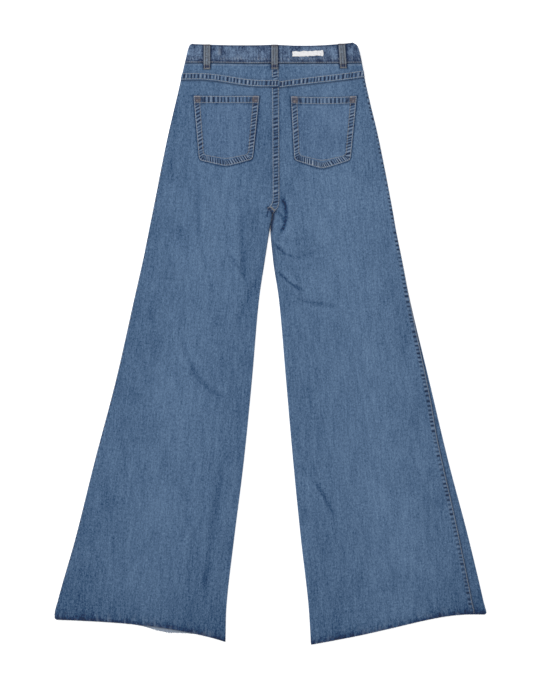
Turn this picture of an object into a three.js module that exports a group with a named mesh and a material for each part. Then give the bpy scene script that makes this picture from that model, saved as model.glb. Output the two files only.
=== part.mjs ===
// Wide leg jeans laid flat on their front, with the back up.
// Millimetres. +X is the wearer's right, +Y runs towards the waist, +Z up off the surface.
// The garment is two flattened tubes that join above the crotch. Every piece of cloth is a patch
// of those tubes: a level is named by its height y at the outer fold, and a place round the
// section by its length s from that fold, positive over the back and negative under the front.
import * as THREE from "three";

// Cloth and seams.
const DENIM = 1.2;
const BAND = 2.4;
const LOOP = 1.3;
const LABEL = 1;
const SEAM_GAP = 0.3;
const LAID_GAP = 0.35;

// The flattened tube: radius of the middle of the wall where a layer turns over.
const FOLD_RADIUS = 1.7;
const FOLD_RADIUS_AT_WAIST = 2.05;
const BAND_FOLD_RADIUS = 2.2;
const INSEAM_UNDER = 0.4; // radians past the edge of the fold
const LEFT_OUTSEAM_UNDER = 6;
const RELIEF_FADE = 20;

// Levels on the centre line.
const CROTCH = 248;
const SADDLE_TOP = 260;
const CROTCH_EASE = 0.5; // more room where four panels turn down together
const LIFT_START = 470;
const BOW_HEIGHT = 170; // how far up the leg the hem's bow is felt
const YOKE_BOW_HEIGHT = 40;
const YOKE_SWAY = { left: 3, right: 0 }; // how far its seam rises, then falls, towards the centre
const BOW_SKEW = { left: 0.8, right: 2.3 }; // 1 puts the bow's top halfway across

// Felled seams stand out over this width.
const FELL_WIDTH = 13.5;
const FELL_STEP = 1.5;
const FELL_RAISE = 0.7;
const FELL_LEVEL_STRETCH = 1.15; // a level's height on the back over its height at the fold

// What the front of the band lies on.
const BUTTON_RADIUS = 8.5;
const BUTTON_X = 11;
const BUTTON_HEIGHT = 2.9;
const BUTTON_LIFT = 1.9;
const BUTTON_LIFT_REACH = 24;
const BAND_LIFT = LOOP + SEAM_GAP;
const CLOSURE_X = 27; // end of the overlapping left half of the band
const BAND_CENTRE_BACK = 8.6;

// Curved opening of each front pocket.
const SCOOP_WIDTH = 96;
const SCOOP_DEPTH = 78;
const SCOOP_POWER = 1.6;
const FACING_RECESS = 0.4;

// Folds and inner edges of the two legs, a row for each section.
const EDGES = [
  { y: 572, leftOuter: -143, leftInner: 4.4, rightInner: 5.2, rightOuter: 156.5 },
  { y: 566, leftOuter: -153, leftInner: 4.4, rightInner: 5.2, rightOuter: 166 },
  { y: 540, leftOuter: -160.2, leftInner: 4.4, rightInner: 5.2, rightOuter: 173.4 },
  { y: 502, leftOuter: -169, leftInner: 4.4, rightInner: 5.2, rightOuter: 180.4 },
  { y: 388, leftOuter: -195.6, leftInner: 4.4, rightInner: 5.2, rightOuter: 207 },
  { y: 258, leftOuter: -221.5, leftInner: 4.4, rightInner: 5.2, rightOuter: 232.3 },
  { y: 248, leftOuter: -223.5, leftInner: 4.4, rightInner: 5.2, rightOuter: 234.1 },
  { y: 219, leftOuter: -229.4, leftInner: -0.3, rightInner: 0.9, rightOuter: 239 },
  { y: 160, leftOuter: -241.2, leftInner: -9.5, rightInner: 5.7, rightOuter: 250.7 },
  { y: 84, leftOuter: -258.3, leftInner: -20.8, rightInner: 17, rightOuter: 266 },
  { y: -68, leftOuter: -292.5, leftInner: -34.2, rightInner: 30.4, rightOuter: 302 },
  { y: -220, leftOuter: -332.4, leftInner: -49.4, rightInner: 43.7, rightOuter: 338.1 },
  { y: -372, leftOuter: -370.4, leftInner: -68.4, rightInner: 58.9, rightOuter: 378 },
  { y: -486, leftOuter: -402.7, leftInner: -81.6, rightInner: 72.1, rightOuter: 405 },
  { y: -516, leftOuter: -409.6, leftInner: -83.6, rightInner: 74.6, rightOuter: 411.4 },
  { y: -572, leftOuter: -409.6, leftInner: -84.6, rightInner: 77.9, rightOuter: 411.4 },
];

// Where the two halves meet above the crotch.
const CENTRE_SEAMS = [
  { y: 572, back: 15.2, front: 25 },
  { y: 489, back: 17.2, front: 24 },
  { y: 380, back: 18, front: 21 },
  { y: 275, back: 18.4, front: 18.4 },
  { y: 261, back: 17, front: 17 },
  { y: 254, back: 11.5, front: 11.5 },
  { y: 248, back: 4.8, front: 4.8 },
];

// Heights of the same level at the outer fold, on the back's centre or inner edge, and on the
// front's, with how far the back and front bow up between them.
const LEVELS = {
  left: [
    { name: "band top", outer: 569.2, back: 567.3, front: 553.5, backBow: -1.5, frontBow: 0 },
    { name: "band seam", outer: 533.2, back: 532.2, front: 521, backBow: 0, frontBow: 0 },
    { name: "yoke seam", outer: 500.5, back: 488.4, front: 489, backBow: 0, frontBow: 0 },
    { name: "seat", outer: 285, back: 285, front: 285, backBow: 0, frontBow: 0 },
    { name: "thigh", outer: 236, back: 236, front: 236, backBow: 0, frontBow: 0 },
    { name: "hem", outer: -523.5, back: -566.2, front: -566.2, backBow: 11.5, frontBow: 11.8 },
  ],
  right: [
    { name: "band top", outer: 571.5, back: 567.3, front: 553.5, backBow: -3.3, frontBow: 0 },
    { name: "band seam", outer: 533, back: 532.3, front: 521, backBow: 0, frontBow: 0 },
    { name: "yoke seam", outer: 506, back: 486, front: 489, backBow: -0.7, frontBow: 0 },
    { name: "seat", outer: 285, back: 285, front: 285, backBow: 0, frontBow: 0 },
    { name: "thigh", outer: 236, back: 236, front: 236, backBow: 0, frontBow: 0 },
    { name: "hem", outer: -514, back: -571, front: -569.5, backBow: 9.7, frontBow: 10.5 },
  ],
};

// Dip of the left front's raw hem, which shows below the back's.
const HEM_DIP = { x: -199, halfWidth: 38, drop: 8, height: 60 };

// Length from the right outer fold to its outseam, which climbs over the fold towards the hem.
const RIGHT_OUTSEAM = [
  { y: 572, s: -4 },
  { y: 240, s: -3 },
  { y: 84, s: 0 },
  { y: -20, s: 2.6 },
  { y: -100, s: 5 },
  { y: -180, s: 9.8 },
  { y: -256, s: 12 },
  { y: -372, s: 17 },
  { y: -516, s: 23 },
];

// Largest folds of the back: a bent line from start through bend to end, and its half width.
const CREASES = [
  { x0: -138, y0: 330, x1: -148, y1: 190, x2: -99, y2: 55, height: 1.2, width: 22 },
  { x0: -38, y0: 285, x1: -52, y1: 200, x2: -44, y2: 100, height: 1, width: 16 },
  { x0: -160, y0: 5, x1: -140, y1: -85, x2: -62, y2: -106, height: 1.1, width: 20 },
  { x0: -85, y0: -190, x1: -118, y1: -370, x2: -141, y2: -545, height: 1.3, width: 22 },
  { x0: -290, y0: -210, x1: -305, y1: -340, x2: -330, y2: -520, height: 0.9, width: 28 },
  { x0: 24, y0: 272, x1: 40, y1: 242, x2: 19, y2: 208, height: 1.3, width: 11 },
  { x0: 6, y0: 196, x1: 44, y1: 150, x2: 98, y2: 188, height: -0.8, width: 15 },
  { x0: 14, y0: 140, x1: 34, y1: 106, x2: 66, y2: 103, height: 0.9, width: 15 },
  { x0: 50, y0: 84, x1: 92, y1: 72, x2: 136, y2: 74, height: -0.7, width: 18 },
  { x0: 66, y0: -245, x1: 118, y1: -300, x2: 144, y2: -372, height: 1.1, width: 22 },
  { x0: 190, y0: 220, x1: 172, y1: 20, x2: 210, y2: -170, height: 1, width: 34 },
  { x0: 262, y0: -260, x1: 270, y1: -390, x2: 300, y2: -530, height: 1, width: 30 },
];
const CREASE_STEPS = 12;
const CREASE_TAPER = 0.25; // share of a crease's length that each end fades over

const POCKETS = {
  left: {
    topOuter: { x: -146, y: 471.6 },
    topInner: { x: -19.4, y: 471.4 },
    bottomOuter: { x: -135.1, y: 350.2 },
    tip: { x: -86.1, y: 337.2 },
    bottomInner: { x: -32.2, y: 351.8 },
    sag: 0.3,
  },
  right: {
    topOuter: { x: 165.5, y: 471.2 },
    topInner: { x: 38.9, y: 470.6 },
    bottomOuter: { x: 153.2, y: 350.6 },
    tip: { x: 100.7, y: 332.5 },
    bottomInner: { x: 45.7, y: 350.7 },
    sag: 2,
  },
};
const POCKET_CORNER = 8;
const POCKET_HEM = 14;
const POCKET_HEM_RAISE = 0.6;
const POCKET_POINT_RISE = 3; // how late down the pocket its rows bend to the point
const POCKET_POINT_ROUND = 0.12; // share of the half width over which the point is rounded

// Belt loops: middle at the top edge and at the bottom end.
const LOOP_WIDTH = 13;
const BACK_LOOPS = [
  { name: "belt_loop_back_left", topX: -119.7, bottomX: -119.7, bottomY: 520.6 },
  { name: "belt_loop_back_centre", topX: 8.7, bottomX: 8.7, bottomY: 520.6 },
  { name: "belt_loop_back_right", topX: 135.8, bottomX: 139.4, bottomY: 522.5 },
];
const FRONT_LOOPS = [
  { name: "belt_loop_front_left", side: "left", x: -72 },
  { name: "belt_loop_front_right", side: "right", x: 92 },
];
const FRONT_LOOP_END = 12; // below the band seam

const LABEL_SIZE = { width: 58.6, height: 9.4 };
const LABEL_CENTRE = { x: 71.2, y: 550.8 };
const LABEL_TILT = 0.032;

// Finishes.
const denim = { color: 0x536d8c, roughness: 0.92, metalness: 0 };
const bandDenim = { color: 0x526782, roughness: 0.92, metalness: 0 };
const pocketDenim = { color: 0x516989, roughness: 0.92, metalness: 0 };
const tape = { color: 0xebe8ec, roughness: 0.8, metalness: 0 };
const brass = { color: 0xa08a62, roughness: 0.4, metalness: 1 };

const jeans = new THREE.Group();

// Arithmetic.

const mix = (a, b, t) => a + (b - a) * t;

function smooth(t) {
  const c = THREE.MathUtils.clamp(t, 0, 1);
  return c * c * (3 - 2 * c);
}

// Value of a table's column at y, on a curve that never overshoots its rows.
function along(table, column, y, key = "y") {
  const rising = table[0][key] < table[1][key];
  const past = (row) => (rising ? y <= row[key] : y >= row[key]);
  const found = table.findIndex((row, i) => i > 0 && past(row));
  const end = found < 0 ? table.length - 1 : found;
  const slope = (i) =>
    (table[i][column] - table[i - 1][column]) / (table[i][key] - table[i - 1][key]);
  const tangent = (i) => {
    if (i === 0) return slope(1);
    if (i === table.length - 1) return slope(i);
    const [before, after] = [slope(i), slope(i + 1)];
    return before * after <= 0 ? 0 : (2 * before * after) / (before + after);
  };
  const span = table[end][key] - table[end - 1][key];
  const t = (y - table[end - 1][key]) / span;
  const [v0, v1] = [table[end - 1][column], table[end][column]];
  if (t < 0) return v0 + (y - table[end - 1][key]) * tangent(end - 1);
  if (t > 1) return v1 + (y - table[end][key]) * tangent(end);
  const [m0, m1] = [tangent(end - 1) * span, tangent(end) * span];
  const turned = t * t * (3 - 2 * t);
  return mix(v0, v1, turned) + t * (1 - t) * ((1 - t) * m0 - t * m1);
}

const spread = (from, to, steps) =>
  Array.from({ length: steps + 1 }, (_, i) => mix(from, to, i / steps));

// The form of the garment.

function levelOf(side, name) {
  return LEVELS[side].find((level) => level.name === name);
}

// Same level at the centre or inner edge, straight between the named levels.
function innerHeight(side, layer, outerY) {
  const table = LEVELS[side];
  const found = table.findIndex((level, i) => i > 0 && outerY >= level.outer);
  const end = found < 0 ? table.length - 1 : found;
  const t = (outerY - table[end - 1].outer) / (table[end].outer - table[end - 1].outer);
  return mix(table[end - 1][layer], table[end][layer], t);
}

function bow(side, layer, outerY) {
  const hem = levelOf(side, "hem");
  const column = `${layer}Bow`;
  const atHem = hem[column] * smooth((hem.outer + BOW_HEIGHT - outerY) / BOW_HEIGHT);
  return atHem + levelOf(side, "yoke seam")[column] * nearYoke(side, outerY);
}

// How far a level of the band bows up between its ends, from nothing at its seam.
function bandBow(side, layer, outerY) {
  const [top, seam] = LEVELS[side];
  const share = (outerY - seam.outer) / (top.outer - seam.outer);
  return top[`${layer}Bow`] * THREE.MathUtils.clamp(share, 0, 1);
}

function nearYoke(side, outerY) {
  return smooth(1 - Math.abs(outerY - levelOf(side, "yoke seam").outer) / YOKE_BOW_HEIGHT);
}

// Half of a seam's gap, measured across a level, where the seam moves over by lean per mm of height.
const halfGap = (lean) => (SEAM_GAP / 2) * Math.hypot(1, lean);

// Place of a half's edge at its centre seam or, below the crotch, at the leg's inner fold.
function innerEdge(side, layer, y, cloth) {
  if (y < CROTCH) return along(EDGES, `${side}Inner`, y);
  const lean = cloth.centre(layer, y + 1) - cloth.centre(layer, y);
  const gap = halfGap(lean) + CROTCH_EASE * Math.sin(Math.PI * curled(y));
  return cloth.centre(layer, y) + (side === "left" ? -gap : gap);
}

// 0 where the halves are sewn together flat, 1 where the inner edge turns over as a fold.
const curled = (y) => smooth((SADDLE_TOP - y) / (SADDLE_TOP - CROTCH + 2));

const buttonLift = (x) => BUTTON_LIFT * Math.exp(-(((x - BUTTON_X) / BUTTON_LIFT_REACH) ** 4));

// Body and band: thickness, fold radius, height of the middle of the front layer, and where
// the two halves meet.
const body = {
  thickness: DENIM,
  centre: (layer, y) => along(CENTRE_SEAMS, layer, y),
  radius: (side, outerY) => mix(FOLD_RADIUS, FOLD_RADIUS_AT_WAIST, lifted(side, outerY)),
  floor: (side, outerY, x) =>
    DENIM / 2 + (BAND_LIFT + (BAND - DENIM) / 2 + buttonLift(x)) * lifted(side, outerY),
};
const band = {
  thickness: BAND,
  centre: (layer) => (layer === "back" ? BAND_CENTRE_BACK : CLOSURE_X),
  radius: () => BAND_FOLD_RADIUS,
  floor: (side, outerY, x) => BAND / 2 + BAND_LIFT + buttonLift(x),
};

function lifted(side, outerY) {
  return smooth((outerY - LIFT_START) / (levelOf(side, "band seam").outer - LIFT_START));
}

// Distance from a point to a bent line, and how far along it lies.
function creaseProfile(crease, x, y) {
  let nearest = Infinity;
  let place = 0;
  for (let i = 0; i <= CREASE_STEPS; i += 1) {
    const t = i / CREASE_STEPS;
    const px = mix(mix(crease.x0, crease.x1, t), mix(crease.x1, crease.x2, t), t);
    const py = mix(mix(crease.y0, crease.y1, t), mix(crease.y1, crease.y2, t), t);
    const distance = Math.hypot(px - x, py - y);
    if (distance < nearest) {
      nearest = distance;
      place = t;
    }
  }
  const taper = smooth(place / CREASE_TAPER) * smooth((1 - place) / CREASE_TAPER);
  return crease.height * taper * Math.exp(-((nearest / crease.width) ** 2));
}

// Height of the back's folds over its plain level.
function relief(side, x, y) {
  const yoke = levelOf(side, "yoke seam").back;
  const outer = Math.abs(x - along(EDGES, `${side}Outer`, y));
  const inner = Math.abs(x - innerEdge(side, "back", y, body));
  const fade =
    smooth((outer - FOLD_RADIUS) / RELIEF_FADE) *
    mix(1, smooth((inner - FOLD_RADIUS) / RELIEF_FADE), curled(y)) *
    smooth((yoke - FELL_WIDTH - y) / (2 * RELIEF_FADE));
  return CREASES.reduce((sum, crease) => sum + creaseProfile(crease, x, y), 0) * fade;
}

// Measures of one layer of one section.
function section(side, outerY, layer, cloth) {
  const innerY = innerHeight(side, layer, outerY);
  const outer = new THREE.Vector2(along(EDGES, `${side}Outer`, outerY), outerY);
  const inner = new THREE.Vector2(innerEdge(side, layer, innerY, cloth), innerY);
  const radius = cloth.radius(side, outerY);
  const curl = curled(innerY);
  const under = layer === "back" ? INSEAM_UNDER : -INSEAM_UNDER;
  const sweep = curl * (Math.PI / 2 + under);
  const width = outer.distanceTo(inner);
  const start = cloth.thickness / 2 + radius;
  const turn = width - start * Math.sin(Math.min(sweep, Math.PI / 2));
  const quarter = (radius * Math.PI) / 2;
  const length = quarter + (turn - start) + radius * sweep;
  const bowed = bow(side, layer, outerY);
  const swayed = layer === "back" ? YOKE_SWAY[side] * nearYoke(side, outerY) : 0;
  const banded = bandBow(side, layer, outerY);
  return { outer, inner, radius, curl, width, turn, start, quarter, length, bowed, swayed, banded };
}

// How far the left front's hem dips at x.
function dipped(side, layer, outerY, x) {
  if (side === "right" || layer === "back") return 0;
  const near = smooth((levelOf(side, "hem").outer + HEM_DIP.height - outerY) / HEM_DIP.height);
  return HEM_DIP.drop * near * Math.exp(-(((x - HEM_DIP.x) / HEM_DIP.halfWidth) ** 2));
}

// Middle of the wall at a level and a length s from the outer fold.
function tube(side, outerY, s, cloth) {
  const layer = s > 0 ? "back" : "front";
  const up = s > 0 ? 1 : -1;
  const cut = section(side, outerY, layer, cloth);
  const length = Math.abs(s);
  const { radius, curl, start, turn, quarter } = cut;
  let across = start + length - quarter;
  let rise = radius;
  if (length < quarter) {
    across = start - radius * Math.cos(length / radius);
    rise = radius * Math.sin(length / radius);
  } else if (across > turn && curl > 0) {
    const angle = (across - turn) / radius;
    across = turn + radius * Math.sin(angle);
    rise = radius * Math.cos(angle);
  }
  const slope = smooth((length + quarter) / (2 * quarter));
  const share = across / cut.width;
  const x = mix(cut.outer.x, cut.inner.x, share);
  const rest = THREE.MathUtils.clamp(1 - share, 0, 1);
  const bowed = cut.bowed * Math.sin(Math.PI * rest ** BOW_SKEW[side]);
  const swayed = cut.swayed * Math.sin(2 * Math.PI * rest);
  const banded = cut.banded * Math.sin(Math.PI * rest);
  const bent = bowed + banded - swayed - dipped(side, layer, outerY, x);
  const y = mix(cut.outer.y, cut.inner.y, share * slope) + bent;
  const folds = s > 0 && cloth === body ? relief(side, x, y) : 0;
  const z = cloth.floor(side, outerY, x) + radius + up * rise + folds;
  return new THREE.Vector3(x, y, z);
}

// Level whose back passes over a point.
function levelUnder(side, x, y, cloth) {
  let low = levelOf(side, "hem").outer - 60;
  let high = levelOf(side, "band top").outer + 60;
  for (let i = 0; i < 40; i += 1) {
    const outerY = (low + high) / 2;
    if (tube(side, outerY, lengthAt(side, outerY, x, cloth), cloth).y > y) high = outerY;
    else low = outerY;
  }
  return (low + high) / 2;
}

// Length round the section at which a layer passes x.
function lengthAt(side, outerY, x, cloth, layer = "back") {
  const cut = section(side, outerY, layer, cloth);
  const share = (x - cut.outer.x) / (cut.inner.x - cut.outer.x);
  const length = Math.max(share * cut.width - cut.start + cut.quarter, cut.quarter);
  return layer === "back" ? length : -length;
}

// Top of the back's outer face over a point.
function backSkin(x, y) {
  const side = x < along(CENTRE_SEAMS, "back", Math.max(y, CROTCH)) ? "left" : "right";
  const bandLevel = levelUnder(side, x, y, band);
  const cloth = bandLevel > levelOf(side, "band seam").outer - SEAM_GAP ? band : body;
  const outerY = levelUnder(side, x, y, cloth);
  const seam = along(CENTRE_SEAMS, "back", y);
  const onFell = cloth === body && y > CROTCH && x < seam && x > seam - FELL_WIDTH - 2 * FELL_STEP;
  const middle = tube(side, outerY, lengthAt(side, outerY, x, cloth), cloth).z;
  return middle + cloth.thickness / 2 + (onFell ? FELL_RAISE : 0);
}

// Solids.

// Closed wall between two grids of points with the same rows and columns.
function closedWall(outer, inner) {
  const rows = outer.length;
  const columns = outer[0].length;
  const points = [...outer.flat(), ...inner.flat()];
  const faces = [];
  const at = (i, j, skin) => skin * rows * columns + i * columns + j;
  const quad = (a, b, c, d) => faces.push(a, b, c, a, c, d);
  for (let i = 0; i < rows - 1; i += 1) {
    for (let j = 0; j < columns - 1; j += 1) {
      quad(at(i, j, 0), at(i + 1, j, 0), at(i + 1, j + 1, 0), at(i, j + 1, 0));
      faces.push(at(i, j, 1), at(i + 1, j + 1, 1), at(i + 1, j, 1));
      faces.push(at(i, j, 1), at(i, j + 1, 1), at(i + 1, j + 1, 1));
    }
  }
  for (let i = 0; i < rows - 1; i += 1) {
    const last = columns - 1;
    quad(at(i, 0, 0), at(i, 0, 1), at(i + 1, 0, 1), at(i + 1, 0, 0));
    quad(at(i, last, 0), at(i + 1, last, 0), at(i + 1, last, 1), at(i, last, 1));
  }
  for (let j = 0; j < columns - 1; j += 1) {
    const last = rows - 1;
    quad(at(0, j, 0), at(0, j + 1, 0), at(0, j + 1, 1), at(0, j, 1));
    quad(at(last, j, 0), at(last, j, 1), at(last, j + 1, 1), at(last, j + 1, 0));
  }
  if (volume(points, faces) < 0) faces.reverse();
  const geometry = new THREE.BufferGeometry().setFromPoints(points);
  geometry.setIndex(faces);
  geometry.computeVertexNormals();
  return geometry;
}

function volume(points, faces) {
  let sum = 0;
  for (let i = 0; i < faces.length; i += 3) {
    const [a, b, c] = [points[faces[i]], points[faces[i + 1]], points[faces[i + 2]]];
    sum += a.dot(b.clone().cross(c)) / 6;
  }
  return sum;
}

function add(name, geometry, finish) {
  const mesh = new THREE.Mesh(geometry, new THREE.MeshStandardMaterial(finish));
  mesh.name = name;
  jeans.add(mesh);
  return mesh;
}

// Patch of a tube: levels down the garment, places across each, and what stands out of its face.
function addPatch(name, side, levels, places, cloth, finish, raise = () => 0, recess = 0) {
  const outward = side === "left" ? 1 : -1;
  const middle = levels.map((outerY) => places(outerY).map((s) => tube(side, outerY, s, cloth)));
  const outer = [];
  const inner = [];
  levels.forEach((outerY, i) => {
    const across = places(outerY);
    const before = middle[Math.max(i - 1, 0)];
    const after = middle[Math.min(i + 1, levels.length - 1)];
    const normals = across.map((s, j) => {
      const down = after[j].clone().sub(before[j]);
      const ahead = tube(side, outerY, s + 0.01, cloth).sub(tube(side, outerY, s - 0.01, cloth));
      return down.cross(ahead).normalize().multiplyScalar(outward);
    });
    const offset = (distance) => (point, j) => point.clone().addScaledVector(normals[j], distance(j));
    outer.push(middle[i].map(offset((j) => cloth.thickness / 2 - recess + raise(outerY, j))));
    inner.push(middle[i].map(offset(() => -cloth.thickness / 2 - recess)));
  });
  add(name, closedWall(outer, inner), finish);
}

const outseam = (side, outerY) =>
  side === "left" ? -LEFT_OUTSEAM_UNDER : along(RIGHT_OUTSEAM, "s", outerY);

// Levels of the panels: close together where the legs part, and ending at the hem.
function panelLevels(side, top) {
  const thigh = levelOf(side, "thigh").outer;
  const saddle = spread(SADDLE_TOP, thigh, 8);
  const seat = spread(top, SADDLE_TOP, 8).slice(0, -1);
  const leg = spread(thigh, levelOf(side, "hem").outer, 22).slice(1);
  return [...seat, ...saddle, ...leg];
}

// Places round the section.

// Distances of the last places from the end of a layer: on the flat the step of a felled band,
// on a leg the turn of its inner fold.
const SEAT_END = [FELL_WIDTH + FELL_STEP, FELL_WIDTH, FELL_WIDTH / 2, 0];
const LEG_END = [3.4, 2.3, 1.2, 0];

function endPlaces(cut, sign) {
  const last = cut.length - (cut.curl * SEAM_GAP) / 2;
  return SEAT_END.map((distance, i) => sign * (last - mix(distance, LEG_END[i], cut.curl)));
}

const FOLD_COLUMNS = 6;
const FOLD_STEP = 1.1;

// Across the back, from the outseam over the fold to the centre seam or inseam.
function backPlaces(side, cloth, columns) {
  return (outerY) => {
    const first = outseam(side, outerY) + SEAM_GAP / 2;
    const fold = spread(first, first + FOLD_STEP * FOLD_COLUMNS, FOLD_COLUMNS);
    const end = endPlaces(section(side, outerY, "back", cloth), 1);
    const flat = spread(fold.at(-1), end[0], columns).slice(1, -1);
    return [...fold, ...flat, ...end];
  };
}

// Outer limit of the front: the pocket's curved opening, and the outseam below it.
function scoop(side, outerY) {
  const depth = (levelOf(side, "band seam").outer - outerY) / SCOOP_DEPTH;
  const seam = outseam(side, outerY);
  return depth < 1 ? mix(-SCOOP_WIDTH, seam, Math.max(depth, 0) ** SCOOP_POWER) : seam;
}

const scoopGap = (side, outerY) => halfGap(scoop(side, outerY + 1) - scoop(side, outerY));

// Across the front, from the centre seam or inseam under the leg to its outer limit.
function frontPlaces(side, columns) {
  return (outerY) => {
    const end = endPlaces(section(side, outerY, "front", body), -1).reverse();
    const limit = scoop(side, outerY) - scoopGap(side, outerY);
    const quarter = (FOLD_RADIUS * Math.PI) / 2;
    const under = Math.min(-quarter, limit - 6);
    const over = Math.min(quarter, limit - 2);
    const flat = spread(end.at(-1), under, columns).slice(1);
    if (side === "left") return [...end, ...flat.slice(0, -1), limit];
    const fold = spread(under, over, FOLD_COLUMNS - 1).slice(1);
    return [...end, ...flat, ...fold, ...spread(over, limit, 2).slice(1)];
  };
}

// Across the facing that fills the pocket's opening.
function facingPlaces(side) {
  return (outerY) => {
    const seam = outseam(side, outerY) - SEAM_GAP / 2;
    return spread(scoop(side, outerY) + scoopGap(side, outerY), seam, 4);
  };
}

// Round half the band, from the closure under the front over the fold to the centre of the back.
function bandPlaces(side) {
  return (outerY) => {
    const front = section(side, outerY, "front", band);
    const back = section(side, outerY, "back", band);
    const fold = spread(-front.quarter, back.quarter, FOLD_COLUMNS);
    const under = spread(-front.length, fold[0], 10).slice(0, -1);
    return [...under, ...fold, ...spread(fold.at(-1), back.length, 10).slice(1)];
  };
}

// Pieces of the tubes.

const BACK_COLUMNS = 12;
const FRONT_COLUMNS = 4;
const YOKE_LEVELS = 2;
const SCOOP_LEVELS = 7;
const BAND_LEVELS = 4;
const BAND_SEAM_GAP = 0.6; // along the slope up to the band
const FACING_END = 3; // above the point where the opening meets the outseam

// The left half laps over the right where the centre seam is felled.
function centreFell(side, places) {
  return (outerY, j) => {
    const sewn = side === "left" && j > places - SEAT_END.length;
    return sewn ? FELL_RAISE * (1 - curled(innerHeight(side, "back", outerY))) : 0;
  };
}

function addHalf(side) {
  const [bandTop, bandSeam, yokeSeam] = ["band top", "band seam", "yoke seam"].map(
    (name) => levelOf(side, name).outer,
  );
  const belowBand = bandSeam - BAND_SEAM_GAP;
  const across = backPlaces(side, body, BACK_COLUMNS);
  const fell = centreFell(side, across(yokeSeam).length);
  const addBody = (name, levels, places, raise, recess) =>
    addPatch(`${name}_${side}`, side, levels, places, body, denim, raise, recess);

  addBody("back", panelLevels(side, yokeSeam - SEAM_GAP), across, fell);

  const fellTop = yokeSeam + FELL_WIDTH / FELL_LEVEL_STRETCH;
  const yokeLevels = [...spread(belowBand, fellTop + FELL_STEP, YOKE_LEVELS), fellTop, yokeSeam];
  const yokeRaise = (outerY, j) => (outerY <= fellTop ? FELL_RAISE : fell(outerY, j));
  addBody("yoke", yokeLevels, across, yokeRaise);

  const scoopEnd = bandSeam - SCOOP_DEPTH;
  const scoopLevels = spread(belowBand, scoopEnd, SCOOP_LEVELS).slice(0, -1);
  const frontLevels = [...scoopLevels, ...panelLevels(side, scoopEnd)];
  addBody("front", frontLevels, frontPlaces(side, FRONT_COLUMNS));

  const facingLevels = [...scoopLevels, scoopEnd + FACING_END];
  addBody("pocket_facing", facingLevels, facingPlaces(side), undefined, FACING_RECESS);

  const bandLevels = spread(bandTop, bandSeam, BAND_LEVELS);
  addPatch(`waistband_${side}`, side, bandLevels, bandPlaces(side), band, bandDenim);
}

addHalf("left");
addHalf("right");

// Pieces sewn on top.

// Sheet that lies on the back: a grid of places seen from above, and its thickness at each row.
function addLaid(name, places, thickness, finish, skin = backSkin) {
  const lower = places.map((row) =>
    row.map(({ x, y, over = y }) => new THREE.Vector3(x, y, skin(x, over) + LAID_GAP)),
  );
  const upper = lower.map((row, i) =>
    row.map((point) => point.clone().setZ(point.z + thickness(i))),
  );
  add(name, closedWall(upper, lower), finish);
}

const mixPlace = (a, b, t) => ({ x: mix(a.x, b.x, t), y: mix(a.y, b.y, t) });

// Patch pocket: straight top and sides, rounded lower corners and a shallow point.
function addPocket(side) {
  const corners = POCKETS[side];
  const sideLength = corners.topOuter.y - corners.bottomOuter.y;
  const drop = mix(corners.bottomOuter.y, corners.bottomInner.y, 0.5) - corners.tip.y;
  const hem = POCKET_HEM / sideLength;
  const step = FELL_STEP / sideLength;
  const turn = 1 - POCKET_CORNER / sideLength;
  const rows = [0, hem, ...spread(hem + step, turn, 5), ...spread(turn, 1, 4).slice(1)];
  const places = rows.map((v) => {
    const outer = mixPlace(corners.topOuter, corners.bottomOuter, v);
    const inner = mixPlace(corners.topInner, corners.bottomInner, v);
    const past = THREE.MathUtils.clamp((v - turn) * sideLength, 0, POCKET_CORNER);
    const cut = (POCKET_CORNER - Math.sqrt(POCKET_CORNER ** 2 - past ** 2)) / Math.abs(inner.x - outer.x);
    return spread(cut, 1 - cut, 10).map((u) => {
      const place = mixPlace(outer, inner, u);
      const beside = Math.hypot(2 * u - 1, POCKET_POINT_ROUND);
      const point = drop * v ** POCKET_POINT_RISE * (1 + POCKET_POINT_ROUND - beside);
      const sag = corners.sag * Math.sin(Math.PI * u) * (1 - v) ** 2;
      return { x: place.x, y: place.y - point - sag };
    });
  });
  const thickness = (i) => DENIM + (i < 2 ? POCKET_HEM_RAISE : 0);
  addLaid(`pocket_${side}`, places, thickness, pocketDenim);
}

addPocket("left");
addPocket("right");

// Height at which a layer's level crosses x.
function levelHeight(side, name, x, layer) {
  const outerY = levelOf(side, name).outer;
  return tube(side, outerY, lengthAt(side, outerY, x, band, layer), band).y;
}

// Belt loop over the back of the band, from its top edge to its end on the yoke. It keeps the
// band's height until it is past the seam.
function addBackLoop({ name, topX, bottomX, bottomY }) {
  const side = topX < BAND_CENTRE_BACK ? "left" : "right";
  const top = levelHeight(side, "band top", topX, "back");
  const seam = levelHeight(side, "band seam", topX, "back");
  const stations = [
    { y: top, over: top - 1 },
    ...spread(mix(seam, top, 0.7), seam + 2, 2).map((y) => ({ y, over: y })),
    { y: seam - 0.8, over: seam + 2 },
    { y: seam - 3, over: seam - 3 },
    { y: mix(seam, bottomY, 0.5), over: mix(seam, bottomY, 0.5) },
    { y: bottomY, over: bottomY },
  ];
  const places = stations.map(({ y, over }) => {
    const middle = mix(bottomX, topX, (y - bottomY) / (top - bottomY));
    return spread(middle - LOOP_WIDTH / 2, middle + LOOP_WIDTH / 2, 2).map((x) => ({ x, y, over }));
  });
  addLaid(name, places, () => LOOP, bandDenim);
}

BACK_LOOPS.forEach(addBackLoop);

// Belt loop under the front of the band, flat on what the jeans lie on.
function addFrontLoop({ name, side, x }) {
  const top = levelHeight(side, "band top", x, "front");
  const height = top - levelHeight(side, "band seam", x, "front") + FRONT_LOOP_END;
  const loop = add(name, new THREE.BoxGeometry(LOOP_WIDTH, height, LOOP), bandDenim);
  loop.position.set(x, top - height / 2, LOOP / 2);
}

FRONT_LOOPS.forEach(addFrontLoop);

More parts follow.
